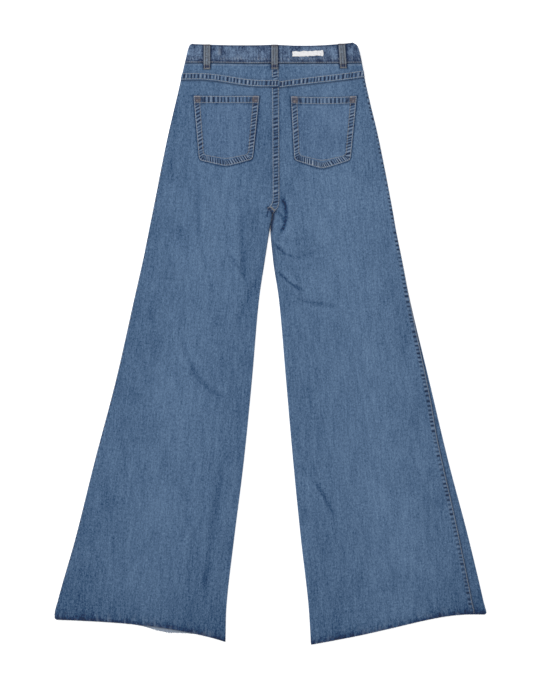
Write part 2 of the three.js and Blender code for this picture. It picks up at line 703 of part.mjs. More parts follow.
// Bare strip sewn on the back of the band.
function addLabel() {
  const { width, height } = LABEL_SIZE;
  const places = spread(height / 2, -height / 2, 2).map((v) =>
    spread(-width / 2, width / 2, 8).map((u) => ({
      x: LABEL_CENTRE.x + u - v * LABEL_TILT,
      y: LABEL_CENTRE.y + v + u * LABEL_TILT,
    })),
  );
  addLaid("label", places, () => LABEL, tape);
}

addLabel();

// Shank button of the closure: flat cap below, neck towards the band.
function addButton() {
  const profile = [
    [0, 0],
    [BUTTON_RADIUS - 1.3, 0],
    [BUTTON_RADIUS, 0.6],
    [BUTTON_RADIUS, 1.4],
    [BUTTON_RADIUS - 1, 1.9],
    [BUTTON_RADIUS / 2, 2.2],
    [BUTTON_RADIUS / 2, BUTTON_HEIGHT],
    [0, BUTTON_HEIGHT],
  ].map(([x, y]) => new THREE.Vector2(x, y));
  const button = add("button", new THREE.LatheGeometry(profile, 24), brass);
  const frontMiddle = (level) => levelOf("left", level).front;
  button.rotation.x = Math.PI / 2;
  button.position.set(BUTTON_X, mix(frontMiddle("band top"), frontMiddle("band seam"), 0.5), 0);
}

addButton();

jeans.updateMatrixWorld(true);
export default jeans;
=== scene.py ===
"""Wide leg jeans laid flat on their front, with the back up.

Lengths are worked out in millimetres and put into the meshes in metres. +X is the wearer's right,
+Y runs towards the waist and +Z is up off the surface. The garment is two flattened tubes of
cloth that join above the crotch. A level is named by its height at the outer fold, and a place
round the section by its length s from that fold, positive over the back and negative below.
"""

import math

import bpy
import numpy as np
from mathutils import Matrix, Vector


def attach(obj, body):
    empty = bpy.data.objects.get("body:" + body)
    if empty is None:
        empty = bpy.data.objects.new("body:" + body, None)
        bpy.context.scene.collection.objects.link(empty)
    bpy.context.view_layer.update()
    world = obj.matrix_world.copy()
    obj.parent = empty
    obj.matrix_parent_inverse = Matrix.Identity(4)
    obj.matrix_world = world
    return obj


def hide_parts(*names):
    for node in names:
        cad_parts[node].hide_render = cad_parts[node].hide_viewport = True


bl_info = {
    "name": "Wide leg jeans",
    "version": (1, 0, 0),
    "blender": (4, 5, 0),
    "location": "3D View > Sidebar > Jeans",
    "description": "Cloth, stitching and stage of flat laid jeans, round a packed model",
    "category": "Object",
}

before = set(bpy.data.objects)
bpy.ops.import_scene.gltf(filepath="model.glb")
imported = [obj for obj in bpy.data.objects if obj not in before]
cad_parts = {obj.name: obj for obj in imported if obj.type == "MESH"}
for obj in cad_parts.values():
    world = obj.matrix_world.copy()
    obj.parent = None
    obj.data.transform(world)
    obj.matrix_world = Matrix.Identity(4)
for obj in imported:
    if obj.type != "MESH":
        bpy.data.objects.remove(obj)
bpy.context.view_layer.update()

MM = 0.001

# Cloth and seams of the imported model.
DENIM = 1.2
BAND = 2.4
LOOP = 1.3
LABEL = 1.0
SEAM_GAP = 0.3
LAID_GAP = 0.35
FOLD_RADIUS = 1.7
FOLD_RADIUS_AT_WAIST = 2.05
BAND_FOLD_RADIUS = 2.2
INSEAM_UNDER = 0.4
LEFT_OUTSEAM_UNDER = 6
RELIEF_FADE = 20
CROTCH = 248
SADDLE_TOP = 260
CROTCH_EASE = 0.5
LIFT_START = 470
BOW_HEIGHT = 170
YOKE_BOW_HEIGHT = 40
YOKE_SWAY = {"left": 3, "right": 0}
BOW_SKEW = {"left": 0.8, "right": 2.3}
FELL_WIDTH = 13.5
FELL_STEP = 1.5
FELL_RAISE = 0.7
BUTTON_RADIUS = 8.5
BUTTON_X = 11
BUTTON_HEIGHT = 2.9
BUTTON_LIFT = 1.9
BUTTON_LIFT_REACH = 24
BAND_LIFT = LOOP + SEAM_GAP
CLOSURE_X = 27
BAND_CENTRE_BACK = 8.6
SCOOP_WIDTH = 96
SCOOP_DEPTH = 78
SCOOP_POWER = 1.6
FACING_RECESS = 0.4
BAND_SEAM_GAP = 0.6
FACING_END = 3
POCKET_CORNER = 8
POCKET_HEM = 14
POCKET_HEM_RAISE = 0.6
POCKET_POINT_RISE = 3
POCKET_POINT_ROUND = 0.12
LOOP_WIDTH = 13
FRONT_LOOP_END = 12
LABEL_SIZE = (58.6, 9.4)
LABEL_CENTRE = (71.2, 550.8)
LABEL_TILT = 0.032

SIDES = ("left", "right")


def columns(names, *rows):
    """Table of named columns, its rows in the order of the first."""
    ordered = np.array(sorted(rows), float)
    return dict(zip(names.split(), ordered.T))


# Folds and inner edges of the two legs.
EDGES = columns(
    "y left_outer left_inner right_inner right_outer",
    (572, -143, 4.4, 5.2, 156.5),
    (566, -153, 4.4, 5.2, 166),
    (540, -160.2, 4.4, 5.2, 173.4),
    (502, -169, 4.4, 5.2, 180.4),
    (388, -195.6, 4.4, 5.2, 207),
    (258, -221.5, 4.4, 5.2, 232.3),
    (248, -223.5, 4.4, 5.2, 234.1),
    (219, -229.4, -0.3, 0.9, 239),
    (160, -241.2, -9.5, 5.7, 250.7),
    (84, -258.3, -20.8, 17, 266),
    (-68, -292.5, -34.2, 30.4, 302),
    (-220, -332.4, -49.4, 43.7, 338.1),
    (-372, -370.4, -68.4, 58.9, 378),
    (-486, -402.7, -81.6, 72.1, 405),
    (-516, -409.6, -83.6, 74.6, 411.4),
    (-572, -409.6, -84.6, 77.9, 411.4),
)

# Where the two halves meet above the crotch.
CENTRE_SEAMS = columns(
    "y back front",
    (572, 15.2, 25),
    (489, 17.2, 24),
    (380, 18, 21),
    (275, 18.4, 18.4),
    (261, 17, 17),
    (254, 11.5, 11.5),
    (248, 4.8, 4.8),
)

# Heights of the same level at the outer fold, on the back's centre or inner edge and on the
# front's, with how far the back and the front bow up between them.
LEVEL_NAMES = ("hem", "thigh", "seat", "yoke seam", "band seam", "band top")
LEVELS = {
    "left": columns(
        "outer back front back_bow front_bow",
        (569.2, 567.3, 553.5, -1.5, 0),
        (533.2, 532.2, 521, 0, 0),
        (500.5, 488.4, 489, 0, 0),
        (285, 285, 285, 0, 0),
        (236, 236, 236, 0, 0),
        (-523.5, -566.2, -566.2, 11.5, 11.8),
    ),
    "right": columns(
        "outer back front back_bow front_bow",
        (571.5, 567.3, 553.5, -3.3, 0),
        (533, 532.3, 521, 0, 0),
        (506, 486, 489, -0.7, 0),
        (285, 285, 285, 0, 0),
        (236, 236, 236, 0, 0),
        (-514, -571, -569.5, 9.7, 10.5),
    ),
}

# Dip of the left front's raw hem, which shows below the back's.
HEM_DIP_X = -199
HEM_DIP_HALF_WIDTH = 38
HEM_DIP_DROP = 8
HEM_DIP_HEIGHT = 60

# How far each hem is rounded off at its outer fold, and how far up.
HEM_CORNER = 2.6
HEM_CORNER_HEIGHT = 12

# Length from the right outer fold to its outseam, which climbs over the fold towards the hem.
RIGHT_OUTSEAM = columns(
    "y s",
    (572, -4), (240, -3), (84, 0), (-20, 2.6), (-100, 5), (-180, 9.8), (-256, 12), (-372, 17),
    (-516, 23),
)

# Folds of the back: a bent line from start through bend to end, and its half width.
CREASES = (
    (-138, 330, -148, 190, -99, 55, 1.2, 22),
    (-38, 285, -52, 200, -44, 100, 1.0, 16),
    (-160, 5, -140, -85, -62, -106, 1.1, 20),
    (-85, -190, -118, -370, -141, -545, 1.3, 22),
    (-290, -210, -305, -340, -330, -520, 0.9, 28),
    (24, 272, 40, 242, 19, 208, 1.3, 11),
    (6, 196, 44, 150, 98, 188, -0.8, 15),
    (14, 140, 34, 106, 66, 103, 0.9, 15),
    (50, 84, 92, 72, 136, 74, -0.7, 18),
    (66, -245, 118, -300, 144, -372, 1.1, 22),
    (190, 220, 172, 20, 210, -170, 1.0, 34),
    (262, -260, 270, -390, 300, -530, 1.0, 30),
)
CREASE_STEPS = 14
CREASE_TAPER = 0.25
TROUGH_TAPER = 0.22

# Sharp creases of the back: a bent line, its depth and half width, how much shade is painted along
# it, and on which side of its run the cloth stands up beside it: 1 right, -1 left, 0 neither.
TROUGHS = (
    (-136, 326, -146, 190, -97, 70, 0.8, 4.5, 0.042, -1),
    (-49, 262, -62, 180, -42, 104, 0.9, 6.5, 0.062, 1),
    (-84, 176, -56, 146, -44, 116, 0.8, 3.6, 0.06, 1),
    (-18, 134, -48, 78, -68, 22, 0.7, 8.0, 0.032, 1),
    (-169, 22, -148, -95, -66, -104, 1.0, 6.5, 0.062, -1),
    (-84, -192, -110, -362, -127, -495, 0.9, 8.5, 0.05, -1),
    (-138, -320, -160, -420, -152, -500, 0.5, 7.0, 0.024, 1),
    (-162, -180, -150, -330, -176, -470, 0.4, 6.0, 0.018, 1),
    (2, 196, 24, 170, 50, 164, 0.8, 3.4, 0.09, -1),
    (44, 165, 66, 162, 90, 181, 0.5, 5.0, 0.036, 1),
    (9, 199, 40, 190, 76, 203, 0.4, 3.5, 0.03, 1),
    (12, 144, 34, 112, 68, 100, 1.2, 4.0, 0.13, -1),
    (46, 84, 88, 78, 134, 69, 0.9, 5.0, 0.07, 1),
    (83, -258, 108, -292, 122, -332, 1.0, 5.2, 0.1, 1),
    (50, -225, 76, -244, 90, -272, 0.4, 6.0, 0.024, 1),
    (118, -325, 132, -360, 140, -430, 0.4, 7.0, 0.026, 1),
    (242, 46, 246, -10, 262, -59, 0.4, 8.0, 0.018, 1),
    (19, 284, 45, 243, 15, 203, 0.8, 4.4, 0.2, -1),
    (12, 252, 24, 247, 27, 228, 0.6, 3.4, 0.12, 0),
    (4, 196, 16, 184, 30, 178, 0.5, 3.0, 0.035, -1),
    (-34, 214, -52, 170, -50, 130, 0.5, 6.0, 0.026, 1),
    # The crease at the crotch is painted nearly black, as the shadow in its fold.
    (-6, 261, 0.5, 255.5, 7, 246, 0.9, 1.9, 0.9, 0),
    (-3, 259, -4.5, 250, -6.5, 239, 0.4, 2.0, 0.14, 0),
)

# Corners of the patch pockets, and how far the middle of the top sags.
POCKETS = {
    "left": {
        "top_outer": (-146, 471.6),
        "top_inner": (-19.4, 471.4),
        "bottom_outer": (-135.1, 350.2),
        "tip": (-86.1, 337.2),
        "bottom_inner": (-32.2, 351.8),
        "sag": (0, 0.3),
    },
    "right": {
        "top_outer": (165.5, 471.2),
        "top_inner": (38.9, 470.6),
        "bottom_outer": (153.2, 350.6),
        "tip": (100.7, 332.5),
        "bottom_inner": (45.7, 350.7),
        "sag": (0, 2),
    },
}

# Belt loops: middle at the top edge and at the bottom end.
BACK_LOOPS = {
    "left": (-119.7, -119.7, 520.6),
    "centre": (8.7, 8.7, 520.6),
    "right": (135.8, 139.4, 522.5),
}
FRONT_LOOPS = {"left": -72, "right": 92}


# Arithmetic.


def mix(a, b, t):
    """Value a share t of the way from a to b."""
    return a + (b - a) * t


def smooth(t):
    """0 up to t = 0 and 1 from t = 1, by 3t^2 - 2t^3 between."""
    c = np.clip(t, 0, 1)
    return c * c * (3 - 2 * c)


def bump(t):
    """Bell exp(-t^2): 1 at t = 0 and about 0 past t = 2."""
    return np.exp(-np.square(t))


def along(table, column, y):
    """Column of a table at y: cubic pieces whose slopes are the harmonic means of the chords',
    so that the curve never overshoots its rows, and straight past the ends."""
    keys, values = table["y"], table[column]
    chords = np.diff(values) / np.diff(keys)
    before, after = chords[:-1], chords[1:]
    same = before * after > 0
    slopes = np.concatenate([chords[:1], np.zeros(len(before)), chords[-1:]])
    slopes[1:-1][same] = 2 * before[same] * after[same] / (before + after)[same]
    i = np.clip(np.searchsorted(keys, y) - 1, 0, len(keys) - 2)
    span = keys[i + 1] - keys[i]
    t = (y - keys[i]) / span
    c = np.clip(t, 0, 1)
    m0, m1 = slopes[i] * span, slopes[i + 1] * span
    curve = mix(values[i], values[i + 1], smooth(c)) + c * (1 - c) * ((1 - c) * m0 - c * m1)
    return curve + (t - c) * np.where(t < 0, m0, m1)


def wander(seed, t):
    """Smooth random curve: a value in -1..1 at each whole t, eased between."""
    values = np.random.default_rng(seed).uniform(-1, 1, 1024)
    i = np.floor(t).astype(int)
    return mix(values[i % 1024], values[(i + 1) % 1024], smooth(t - i))


def cloud(seed, u, v):
    """Smooth random field: a value in -1..1 at each whole (u, v), eased between."""
    values = np.random.default_rng(seed).uniform(-1, 1, (128, 128))
    i, j = np.floor(u).astype(int), np.floor(v).astype(int)
    fu, fv = smooth(u - i), smooth(v - j)
    i0, i1, j0, j1 = i % 128, (i + 1) % 128, j % 128, (j + 1) % 128
    near = mix(values[i0, j0], values[i1, j0], fu)
    return mix(near, mix(values[i0, j1], values[i1, j1], fu), fv)


def stations(*stops):
    """Places from the first stop on: each stop after it is (end, largest step)."""
    made = [np.array([stops[0]], float)]
    for end, step in stops[1:]:
        start = made[-1][-1]
        count = max(1, math.ceil(abs(end - start) / step))
        made.append(np.linspace(start, end, count + 1)[1:])
    return np.concatenate(made)


# Form of the garment.


def level(side, name, column="outer"):
    """Height of a named level at the outer fold, or in another column."""
    return LEVELS[side][column][LEVEL_NAMES.index(name)]


def inner_height(side, layer, outer_y):
    """Same level at the centre or inner edge, straight between the named levels."""
    table = LEVELS[side]
    keys = table["outer"]
    i = np.clip(np.searchsorted(keys, outer_y) - 1, 0, len(keys) - 2)
    t = (outer_y - keys[i]) / (keys[i + 1] - keys[i])
    return mix(table[layer][i], table[layer][i + 1], t)


def near_yoke(side, outer_y):
    """1 at the yoke's seam, 0 well away from it."""
    return smooth(1 - np.abs(outer_y - level(side, "yoke seam")) / YOKE_BOW_HEIGHT)


def bowed(side, layer, outer_y):
    """How far a level bows up between its ends."""
    at_hem = smooth((level(side, "hem") + BOW_HEIGHT - outer_y) / BOW_HEIGHT)
    column = f"{layer}_bow"
    at_yoke = level(side, "yoke seam", column) * near_yoke(side, outer_y)
    return level(side, "hem", column) * at_hem + at_yoke


def band_bow(side, layer, outer_y):
    """How far a level of the band bows up between its ends, from nothing at its seam."""
    top, seam = level(side, "band top"), level(side, "band seam")
    bow = level(side, "band top", f"{layer}_bow")
    return bow * np.clip((outer_y - seam) / (top - seam), 0, 1)


def rounded(side, outer_y, from_fold):
    """How far a hem's corner is rounded off at a distance from the outer fold."""
    near = smooth((level(side, "hem") + HEM_CORNER_HEIGHT - outer_y) / HEM_CORNER_HEIGHT)
    return HEM_CORNER * near * bump(from_fold / HEM_CORNER)


def dipped(side, layer, outer_y, x):
    """How far the left front's hem dips at x."""
    if side == "right" or layer == "back":
        return 0
    near = smooth((level(side, "hem") + HEM_DIP_HEIGHT - outer_y) / HEM_DIP_HEIGHT)
    return HEM_DIP_DROP * near * bump((x - HEM_DIP_X) / HEM_DIP_HALF_WIDTH)


def curled(y):
    """0 where the halves are sewn together flat, 1 where the inner edge turns over as a fold."""
    return smooth((SADDLE_TOP - y) / (SADDLE_TOP - CROTCH + 2))


def half_gap(lean):
    """Half of a seam's gap across a level, where the seam moves over by lean per mm of height."""
    return SEAM_GAP / 2 * np.hypot(1, lean)


def lifted(side, outer_y):
    """0 down the leg, 1 from the band's seam up, where the band's front lies on its loops."""
    return smooth((outer_y - LIFT_START) / (level(side, "band seam") - LIFT_START))


def button_lift(x):
    """How far the shank button holds the front off the surface."""
    return BUTTON_LIFT * np.exp(-(((x - BUTTON_X) / BUTTON_LIFT_REACH) ** 4))


class Body:
    """Single cloth of the panels."""

    thickness = DENIM

    @staticmethod
    def centre(layer, y):
        return along(CENTRE_SEAMS, layer, y)

    @staticmethod
    def radius(side, outer_y):
        return mix(FOLD_RADIUS, FOLD_RADIUS_AT_WAIST, lifted(side, outer_y))

    @staticmethod
    def floor(side, outer_y, x):
        lift = BAND_LIFT + (BAND - DENIM) / 2 + button_lift(x)
        return DENIM / 2 + lift * lifted(side, outer_y)


class Band:
    """Doubled cloth of the waistband."""

    thickness = BAND

    @staticmethod
    def centre(layer, y):
        return np.full(np.shape(y), BAND_CENTRE_BACK if layer == "back" else CLOSURE_X, float)

    @staticmethod
    def radius(side, outer_y):
        return np.full(np.shape(outer_y), BAND_FOLD_RADIUS)

    @staticmethod
    def floor(side, outer_y, x):
        return BAND / 2 + BAND_LIFT + button_lift(x)


def inner_edge(side, layer, y, cloth):
    """Place of a half's edge at its centre seam or, below the crotch, at the inner fold."""
    lean = cloth.centre(layer, y + 1) - cloth.centre(layer, y)
    gap = half_gap(lean) + CROTCH_EASE * np.sin(np.pi * curled(y))
    sewn = cloth.centre(layer, y) + (-gap if side == "left" else gap)
    return np.where(y < CROTCH, along(EDGES, f"{side}_inner", y), sewn)


def bent_line(row):
    """Points of a bent line: (1-t)^2 start + 2t(1-t) bend + t^2 end."""
    t = np.linspace(0, 1, CREASE_STEPS + 1)[:, None]
    start, bend, end = np.array(row[:6], float).reshape(3, 2)
    return mix(mix(start, bend, t), mix(bend, end, t), t)


def from_line(path, x, y):
    """Signed distance of points from a line of straight pieces, and how far along it they lie."""
    ax, ay = path[:-1, 0], path[:-1, 1]
    dx, dy = np.diff(path[:, 0]), np.diff(path[:, 1])
    px, py = x[..., None] - ax, y[..., None] - ay
    t = np.clip((px * dx + py * dy) / (dx * dx + dy * dy), 0, 1)
    away = np.hypot(px - t * dx, py - t * dy)
    k = np.argmin(away, axis=-1)[..., None]
    side = np.sign(np.take_along_axis(px * dy - py * dx, k, -1))
    place = (k + np.take_along_axis(t, k, -1)) / len(dx)
    return (np.take_along_axis(away, k, -1) * side)[..., 0], place[..., 0]


def crease_height(row, x, y):
    """Bell across a bent line, fading out over each end."""
    height, width = row[6:8]
    made = np.zeros(x.shape)
    path = bent_line(row)
    low, high = path.min(0) - 3 * width, path.max(0) + 3 * width
    near = (x > low[0]) & (x < high[0]) & (y > low[1]) & (y < high[1])
    if near.any():
        away, place = from_line(path, x[near], y[near])
        taper = smooth(place / CREASE_TAPER) * smooth((1 - place) / CREASE_TAPER)
        made[near] = height * taper * bump(away / width)
    return made


def trough_marks(x, y):
    """Depth of the sharp creases, each with a low ridge on one of its sides, and the shade painted
    in them, a little lighter on the ridge.
    """
    depth, dark = np.zeros(x.shape), np.zeros(x.shape)
    for row in TROUGHS:
        deep, width, strength, ridge = row[6:]
        path = bent_line(row)
        low, high = path.min(0) - 5 * width, path.max(0) + 5 * width
        near = (x > low[0]) & (x < high[0]) & (y > low[1]) & (y < high[1])
        if not near.any():
            continue
        away, place = from_line(path, x[near], y[near])
        taper = smooth(place / TROUGH_TAPER) * smooth((1 - place) / TROUGH_TAPER)
        taper = taper * (0.9 + 0.16 * wander(int(abs(row[0])), 6 * place))
        raised = 0.45 * abs(ridge) * bump((away * np.sign(ridge) - 2.1 * width) / (1.4 * width))
        line = bump(away / width)
        depth[near] += deep * taper * (line - raised)
        dark[near] += strength * taper * (bump(away / (0.75 * width)) - 0.5 * raised)
    return depth, dark


def relief(side, x, y):
    """Height of the back's folds over its plain level, fading out to its edges."""
    x, y = np.broadcast_arrays(x, y)
    outer = np.abs(x - along(EDGES, f"{side}_outer", y))
    inner = np.abs(x - inner_edge(side, "back", y, Body))
    top = level(side, "yoke seam", "back") - FELL_WIDTH
    fade = smooth((outer - FOLD_RADIUS) / RELIEF_FADE)
    fade = fade * mix(1, smooth((inner - FOLD_RADIUS) / RELIEF_FADE), curled(y))
    fade = fade * smooth((top - y) / (2 * RELIEF_FADE))
    total = sum(crease_height(row, x, y) for row in CREASES)
    swell = 0.35 * cloud(11, x / 62, y / 95) + 0.15 * cloud(12, x / 27, y / 44)
    return (total + swell - trough_marks(x, y)[0]) * fade


def section(side, outer_y, layer, cloth):
    """Measures of one layer of one section, each an array of outer_y's shape."""
    inner_y = inner_height(side, layer, outer_y)
    cut = {
        "outer_x": along(EDGES, f"{side}_outer", outer_y),
        "outer_y": outer_y,
        "inner_x": inner_edge(side, layer, inner_y, cloth),
        "inner_y": inner_y,
        "radius": cloth.radius(side, outer_y),
        "curl": curled(inner_y),
        "bowed": bowed(side, layer, outer_y),
        "banded": band_bow(side, layer, outer_y),
        "swayed": (YOKE_SWAY[side] if layer == "back" else 0) * near_yoke(side, outer_y),
    }
    under = INSEAM_UNDER if layer == "back" else -INSEAM_UNDER
    sweep = cut["curl"] * (np.pi / 2 + under)
    cut["width"] = np.hypot(cut["outer_x"] - cut["inner_x"], outer_y - inner_y)
    cut["start"] = cloth.thickness / 2 + cut["radius"]
    cut["turn"] = cut["width"] - cut["start"] * np.sin(np.minimum(sweep, np.pi / 2))
    cut["quarter"] = cut["radius"] * np.pi / 2
    cut["length"] = cut["quarter"] + cut["turn"] - cut["start"] + cut["radius"] * sweep
    return cut


def layer_point(side, outer_y, s, cloth, layer, folded):
    """Middle of one layer's wall at a level and a length s: a quarter circle over the fold, then
    flat to the inner edge, and there over the inner fold. The back's folds only if folded."""
    up = 1 if layer == "back" else -1
    cut = section(side, outer_y, layer, cloth)
    length = np.abs(s)
    radius, start, turn, quarter = (cut[k] for k in ("radius", "start", "turn", "quarter"))
    flat = start + length - quarter
    past = (flat > turn) & (cut["curl"] > 0)
    angle = np.where(past, (flat - turn) / radius, 0)
    over = length < quarter
    across = np.where(past, turn + radius * np.sin(angle), flat)
    across = np.where(over, start - radius * np.cos(length / radius), across)
    rise = np.where(past, radius * np.cos(angle), radius)
    rise = np.where(over, radius * np.sin(length / radius), rise)
    slope = smooth((length + quarter) / (2 * quarter))
    share = across / cut["width"]
    x = mix(cut["outer_x"], cut["inner_x"], share)
    rest = np.clip(1 - share, 0, 1)
    bend = cut["bowed"] * np.sin(np.pi * rest ** BOW_SKEW[side])
    bend = bend + cut["banded"] * np.sin(np.pi * rest) - cut["swayed"] * np.sin(2 * np.pi * rest)
    bend = bend - dipped(side, layer, outer_y, x) + rounded(side, outer_y, across)
    y = mix(cut["outer_y"], cut["inner_y"], share * slope) + bend
    folds = relief(side, x, y) if folded and layer == "back" and cloth is Body else 0
    z = cloth.floor(side, outer_y, x) + radius + up * rise + folds
    return np.stack(np.broadcast_arrays(x, y, z), axis=-1)


def tube(side, outer_y, s, cloth, folded=True):
    """Middle of the wall at a level and a length s, over the back or under the front."""
    outer_y, s = np.broadcast_arrays(np.asarray(outer_y, float), np.asarray(s, float))
    made = np.empty((*s.shape, 3))
    for layer, chosen in (("back", s > 0), ("front", s <= 0)):
        if chosen.any():
            made[chosen] = layer_point(side, outer_y[chosen], s[chosen], cloth, layer, folded)
    return made


def seam_height(side, name, s, cloth):
    """Height y of a named level over lengths s."""
    return tube(side, np.full(np.shape(s), level(side, name)), s, cloth, False)[..., 1]


NUDGE = 0.4


def facing_up(side, outer_y, s, cloth):
    """Outward normal of the wall, across two short steps on it."""
    down = tube(side, outer_y - NUDGE, s, cloth) - tube(side, outer_y + NUDGE, s, cloth)
    ahead = tube(side, outer_y, s + NUDGE, cloth) - tube(side, outer_y, s - NUDGE, cloth)
    normal = np.cross(down, ahead) * (1 if side == "left" else -1)
    return normal / np.linalg.norm(normal, axis=-1, keepdims=True)


def length_at(side, outer_y, x, cloth, layer="back"):
    """Length round the section at which a layer passes x."""
    cut = section(side, np.asarray(outer_y, float), layer, cloth)
    share = (x - cut["outer_x"]) / (cut["inner_x"] - cut["outer_x"])
    length = np.maximum(share * cut["width"] - cut["start"] + cut["quarter"], cut["quarter"])
    return length if layer == "back" else -length


def level_under(side, x, y, cloth):
    """Level whose back passes over a point, found by halving."""
    low = np.full(np.shape(x), level(side, "hem") - 60)
    high = np.full(np.shape(x), level(side, "band top") + 60)
    for _ in range(26):
        middle = (low + high) / 2
        above = tube(side, middle, length_at(side, middle, x, cloth), cloth, False)[..., 1] > y
        low, high = np.where(above, low, middle), np.where(above, middle, high)
    return (low + high) / 2


def back_skin(x, y):
    """Top of the back's outer face over points."""
    x, y = np.broadcast_arrays(np.asarray(x, float), np.asarray(y, float))
    seam = along(CENTRE_SEAMS, "back", np.maximum(y, CROTCH))
    made = np.zeros(x.shape)
    for side in SIDES:
        here = (x < seam) if side == "left" else (x >= seam)
        px, py = x[here], y[here]
        if not px.size:
            continue
        on_band = level_under(side, px, py, Band) > level(side, "band seam") - SEAM_GAP
        fell = (py > CROTCH) & (px < seam[here]) & (px > seam[here] - FELL_WIDTH - 2 * FELL_STEP)
        heights = []
        for cloth in (Body, Band):
            outer_y = level_under(side, px, py, cloth)
            middle = tube(side, outer_y, length_at(side, outer_y, px, cloth), cloth)
            heights.append(middle[..., 2] + cloth.thickness / 2)
        made[here] = np.where(on_band, heights[1], heights[0] + FELL_RAISE * fell)
    return made


def outseam(side, outer_y):
    """Length from the outer fold to the outseam."""
    if side == "left":
        return np.full(np.shape(outer_y), -LEFT_OUTSEAM_UNDER, float)
    return along(RIGHT_OUTSEAM, "s", outer_y)


def scoop(side, outer_y):
    """Outer limit of the front: the pocket's curved opening, and the outseam below it."""
    depth = (level(side, "band seam") - outer_y) / SCOOP_DEPTH
    seam = outseam(side, outer_y)
    curve = mix(-SCOOP_WIDTH, seam, np.clip(depth, 0, None) ** SCOOP_POWER)
    return np.where(depth < 1, curve, seam)


def scoop_gap(side, outer_y):
    return half_gap(scoop(side, outer_y + 1) - scoop(side, outer_y))


# Meshes.


COARSE = 4


def thinned(count, kept=None):
    """Every fourth of a count of rows or columns, the last, and those that are to be kept."""
    chosen = np.arange(count) % COARSE == 0
    chosen[-1] = True
    return np.flatnonzero(chosen if kept is None else chosen | kept)


def grid_quads(at):
    return np.stack([at[:-1, :-1], at[1:, :-1], at[1:, 1:], at[:-1, 1:]], -1).reshape(-1, 4)


def border(at):
    """Numbers round the edge of a grid of numbers."""
    return np.concatenate([at[0, :-1], at[:-1, -1], at[-1, :0:-1], at[:0:-1, 0]])


def wall_faces(rows, cols, kept_rows, kept_cols):
    """Faces of a closed wall: quads of the fine face, quads of the coarser inside turned round,
    and triangles of the rim that fan from each border point of the inside to the face's."""
    at = np.arange(rows * cols).reshape(rows, cols)
    under = np.arange(len(kept_rows) * len(kept_cols)).reshape(len(kept_rows), -1) + at.size
    fine, coarse = border(at), border(under)
    where = np.zeros(at.size, int)
    where[fine] = np.arange(len(fine))
    place = where[border(at[np.ix_(kept_rows, kept_cols)])]
    switch = (place + np.append(place[1:], len(fine))) // 2
    step = np.arange(len(fine))
    fan = coarse[np.searchsorted(switch, step, side="right") % len(coarse)]
    along_face = np.stack([fine, np.roll(fine, -1), fan], -1)
    along_inside = np.stack([fine[switch], np.roll(coarse, -1), coarse], -1)
    rim = np.concatenate([along_face, along_inside])
    return [grid_quads(at), grid_quads(under)[:, ::-1], rim]


def outward(points, groups):
    """The same faces, turned round if they are inside out: if the sum of a . (b x c) over a fan
    of triangles in each is negative."""
    total = 0
    for faces in groups:
        for k in range(1, faces.shape[1] - 1):
            a, b, c = (points[faces[:, i]] for i in (0, k, k + 1))
            total += np.sum(a * np.cross(b, c))
    return [faces[:, ::-1] for faces in groups] if total < 0 else groups


def new_piece(name, points, groups, materials, kinds=None, marks=None, grain=None, smooth_to=50):
    """Object from points in mm and groups of faces with as many corners each. marks are named
    values at the points, and grain is the place of each on the unrolled cloth, in mm."""
    corners = np.concatenate([faces.ravel() for faces in groups])
    sizes = np.concatenate([np.full(len(faces), faces.shape[1]) for faces in groups])
    mesh = bpy.data.meshes.new(name)
    mesh.vertices.add(len(points))
    mesh.vertices.foreach_set("co", (points * MM).astype(np.float32).ravel())
    mesh.loops.add(len(corners))
    mesh.loops.foreach_set("vertex_index", corners.astype(np.int32))
    mesh.polygons.add(len(sizes))
    mesh.polygons.foreach_set("loop_start", (np.cumsum(sizes) - sizes).astype(np.int32))
    for material in materials:
        mesh.materials.append(material)
    if kinds is not None:
        mesh.polygons.foreach_set("material_index", kinds.astype(np.int32))
    for mark, values in (marks or {}).items():
        layer = mesh.attributes.new(mark, "FLOAT", "POINT")
        layer.data.foreach_set("value", values.astype(np.float32).ravel())
    if grain is not None:
        layer = mesh.uv_layers.new(name="grain")
        layer.data.foreach_set("uv", (grain[corners] * MM).astype(np.float32).ravel())
    mesh.update(calc_edges=True)
    mesh.shade_smooth()
    mesh.set_sharp_from_angle(angle=math.radians(smooth_to))
    made = bpy.data.objects.new(name, mesh)
    bpy.context.collection.objects.link(made)
    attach(made, "root")
    return made


def cloth_piece(
    node, face, inside, wear_and_shade, shade, grain, materials, over_fold=None
):
    """Closed shell of cloth between the grids face and inside, in mm, with its marks on the face.
    over_fold tells its columns that run over a fold, which the inside keeps."""
    rows, cols = face.shape[:2]
    kept_rows, kept_cols = thinned(rows), thinned(cols, over_fold)
    behind = np.ix_(kept_rows, kept_cols)
    points = np.concatenate([face.reshape(-1, 3), inside[behind].reshape(-1, 3)])
    groups = outward(points, wall_faces(rows, cols, kept_rows, kept_cols))
    kinds = np.repeat([0, 1, 2], [len(faces) for faces in groups])
    plain = np.zeros(len(points) - rows * cols)
    marks = {
        "wear_and_shade": np.concatenate([np.broadcast_to(wear_and_shade, (rows, cols)).ravel(), plain]),
        "shade": np.concatenate([np.broadcast_to(shade, (rows, cols)).ravel(), plain]),
    }
    both = np.concatenate([grain.reshape(-1, 2), grain[behind].reshape(-1, 2)])
    made = new_piece(f"{node}_cloth", points, groups, materials, kinds, marks, both)
    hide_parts(node)
    return made


# Wear, puckers and painted shade of the seams.

PUCKER_HEIGHT = 0.38
ROW_DEPTH = 0.28
ROW_WIDTH = 0.9


def puckers(seed, place, pitch):
    """Uneven puckers along a seam: a narrow groove, -1, at each whole phase, and a wider crest
    between two of them."""
    phase = place / pitch + 0.4 * wander(seed, place / (2.3 * pitch))
    past = phase - np.floor(phase)
    deep = 0.8 + 0.4 * wander(seed + 1, np.round(phase))
    high = 0.75 + 0.45 * wander(seed + 2, np.floor(phase))
    return high * bump((past - 0.5) / 0.2) - deep * bump(np.minimum(past, 1 - past) / 0.2)


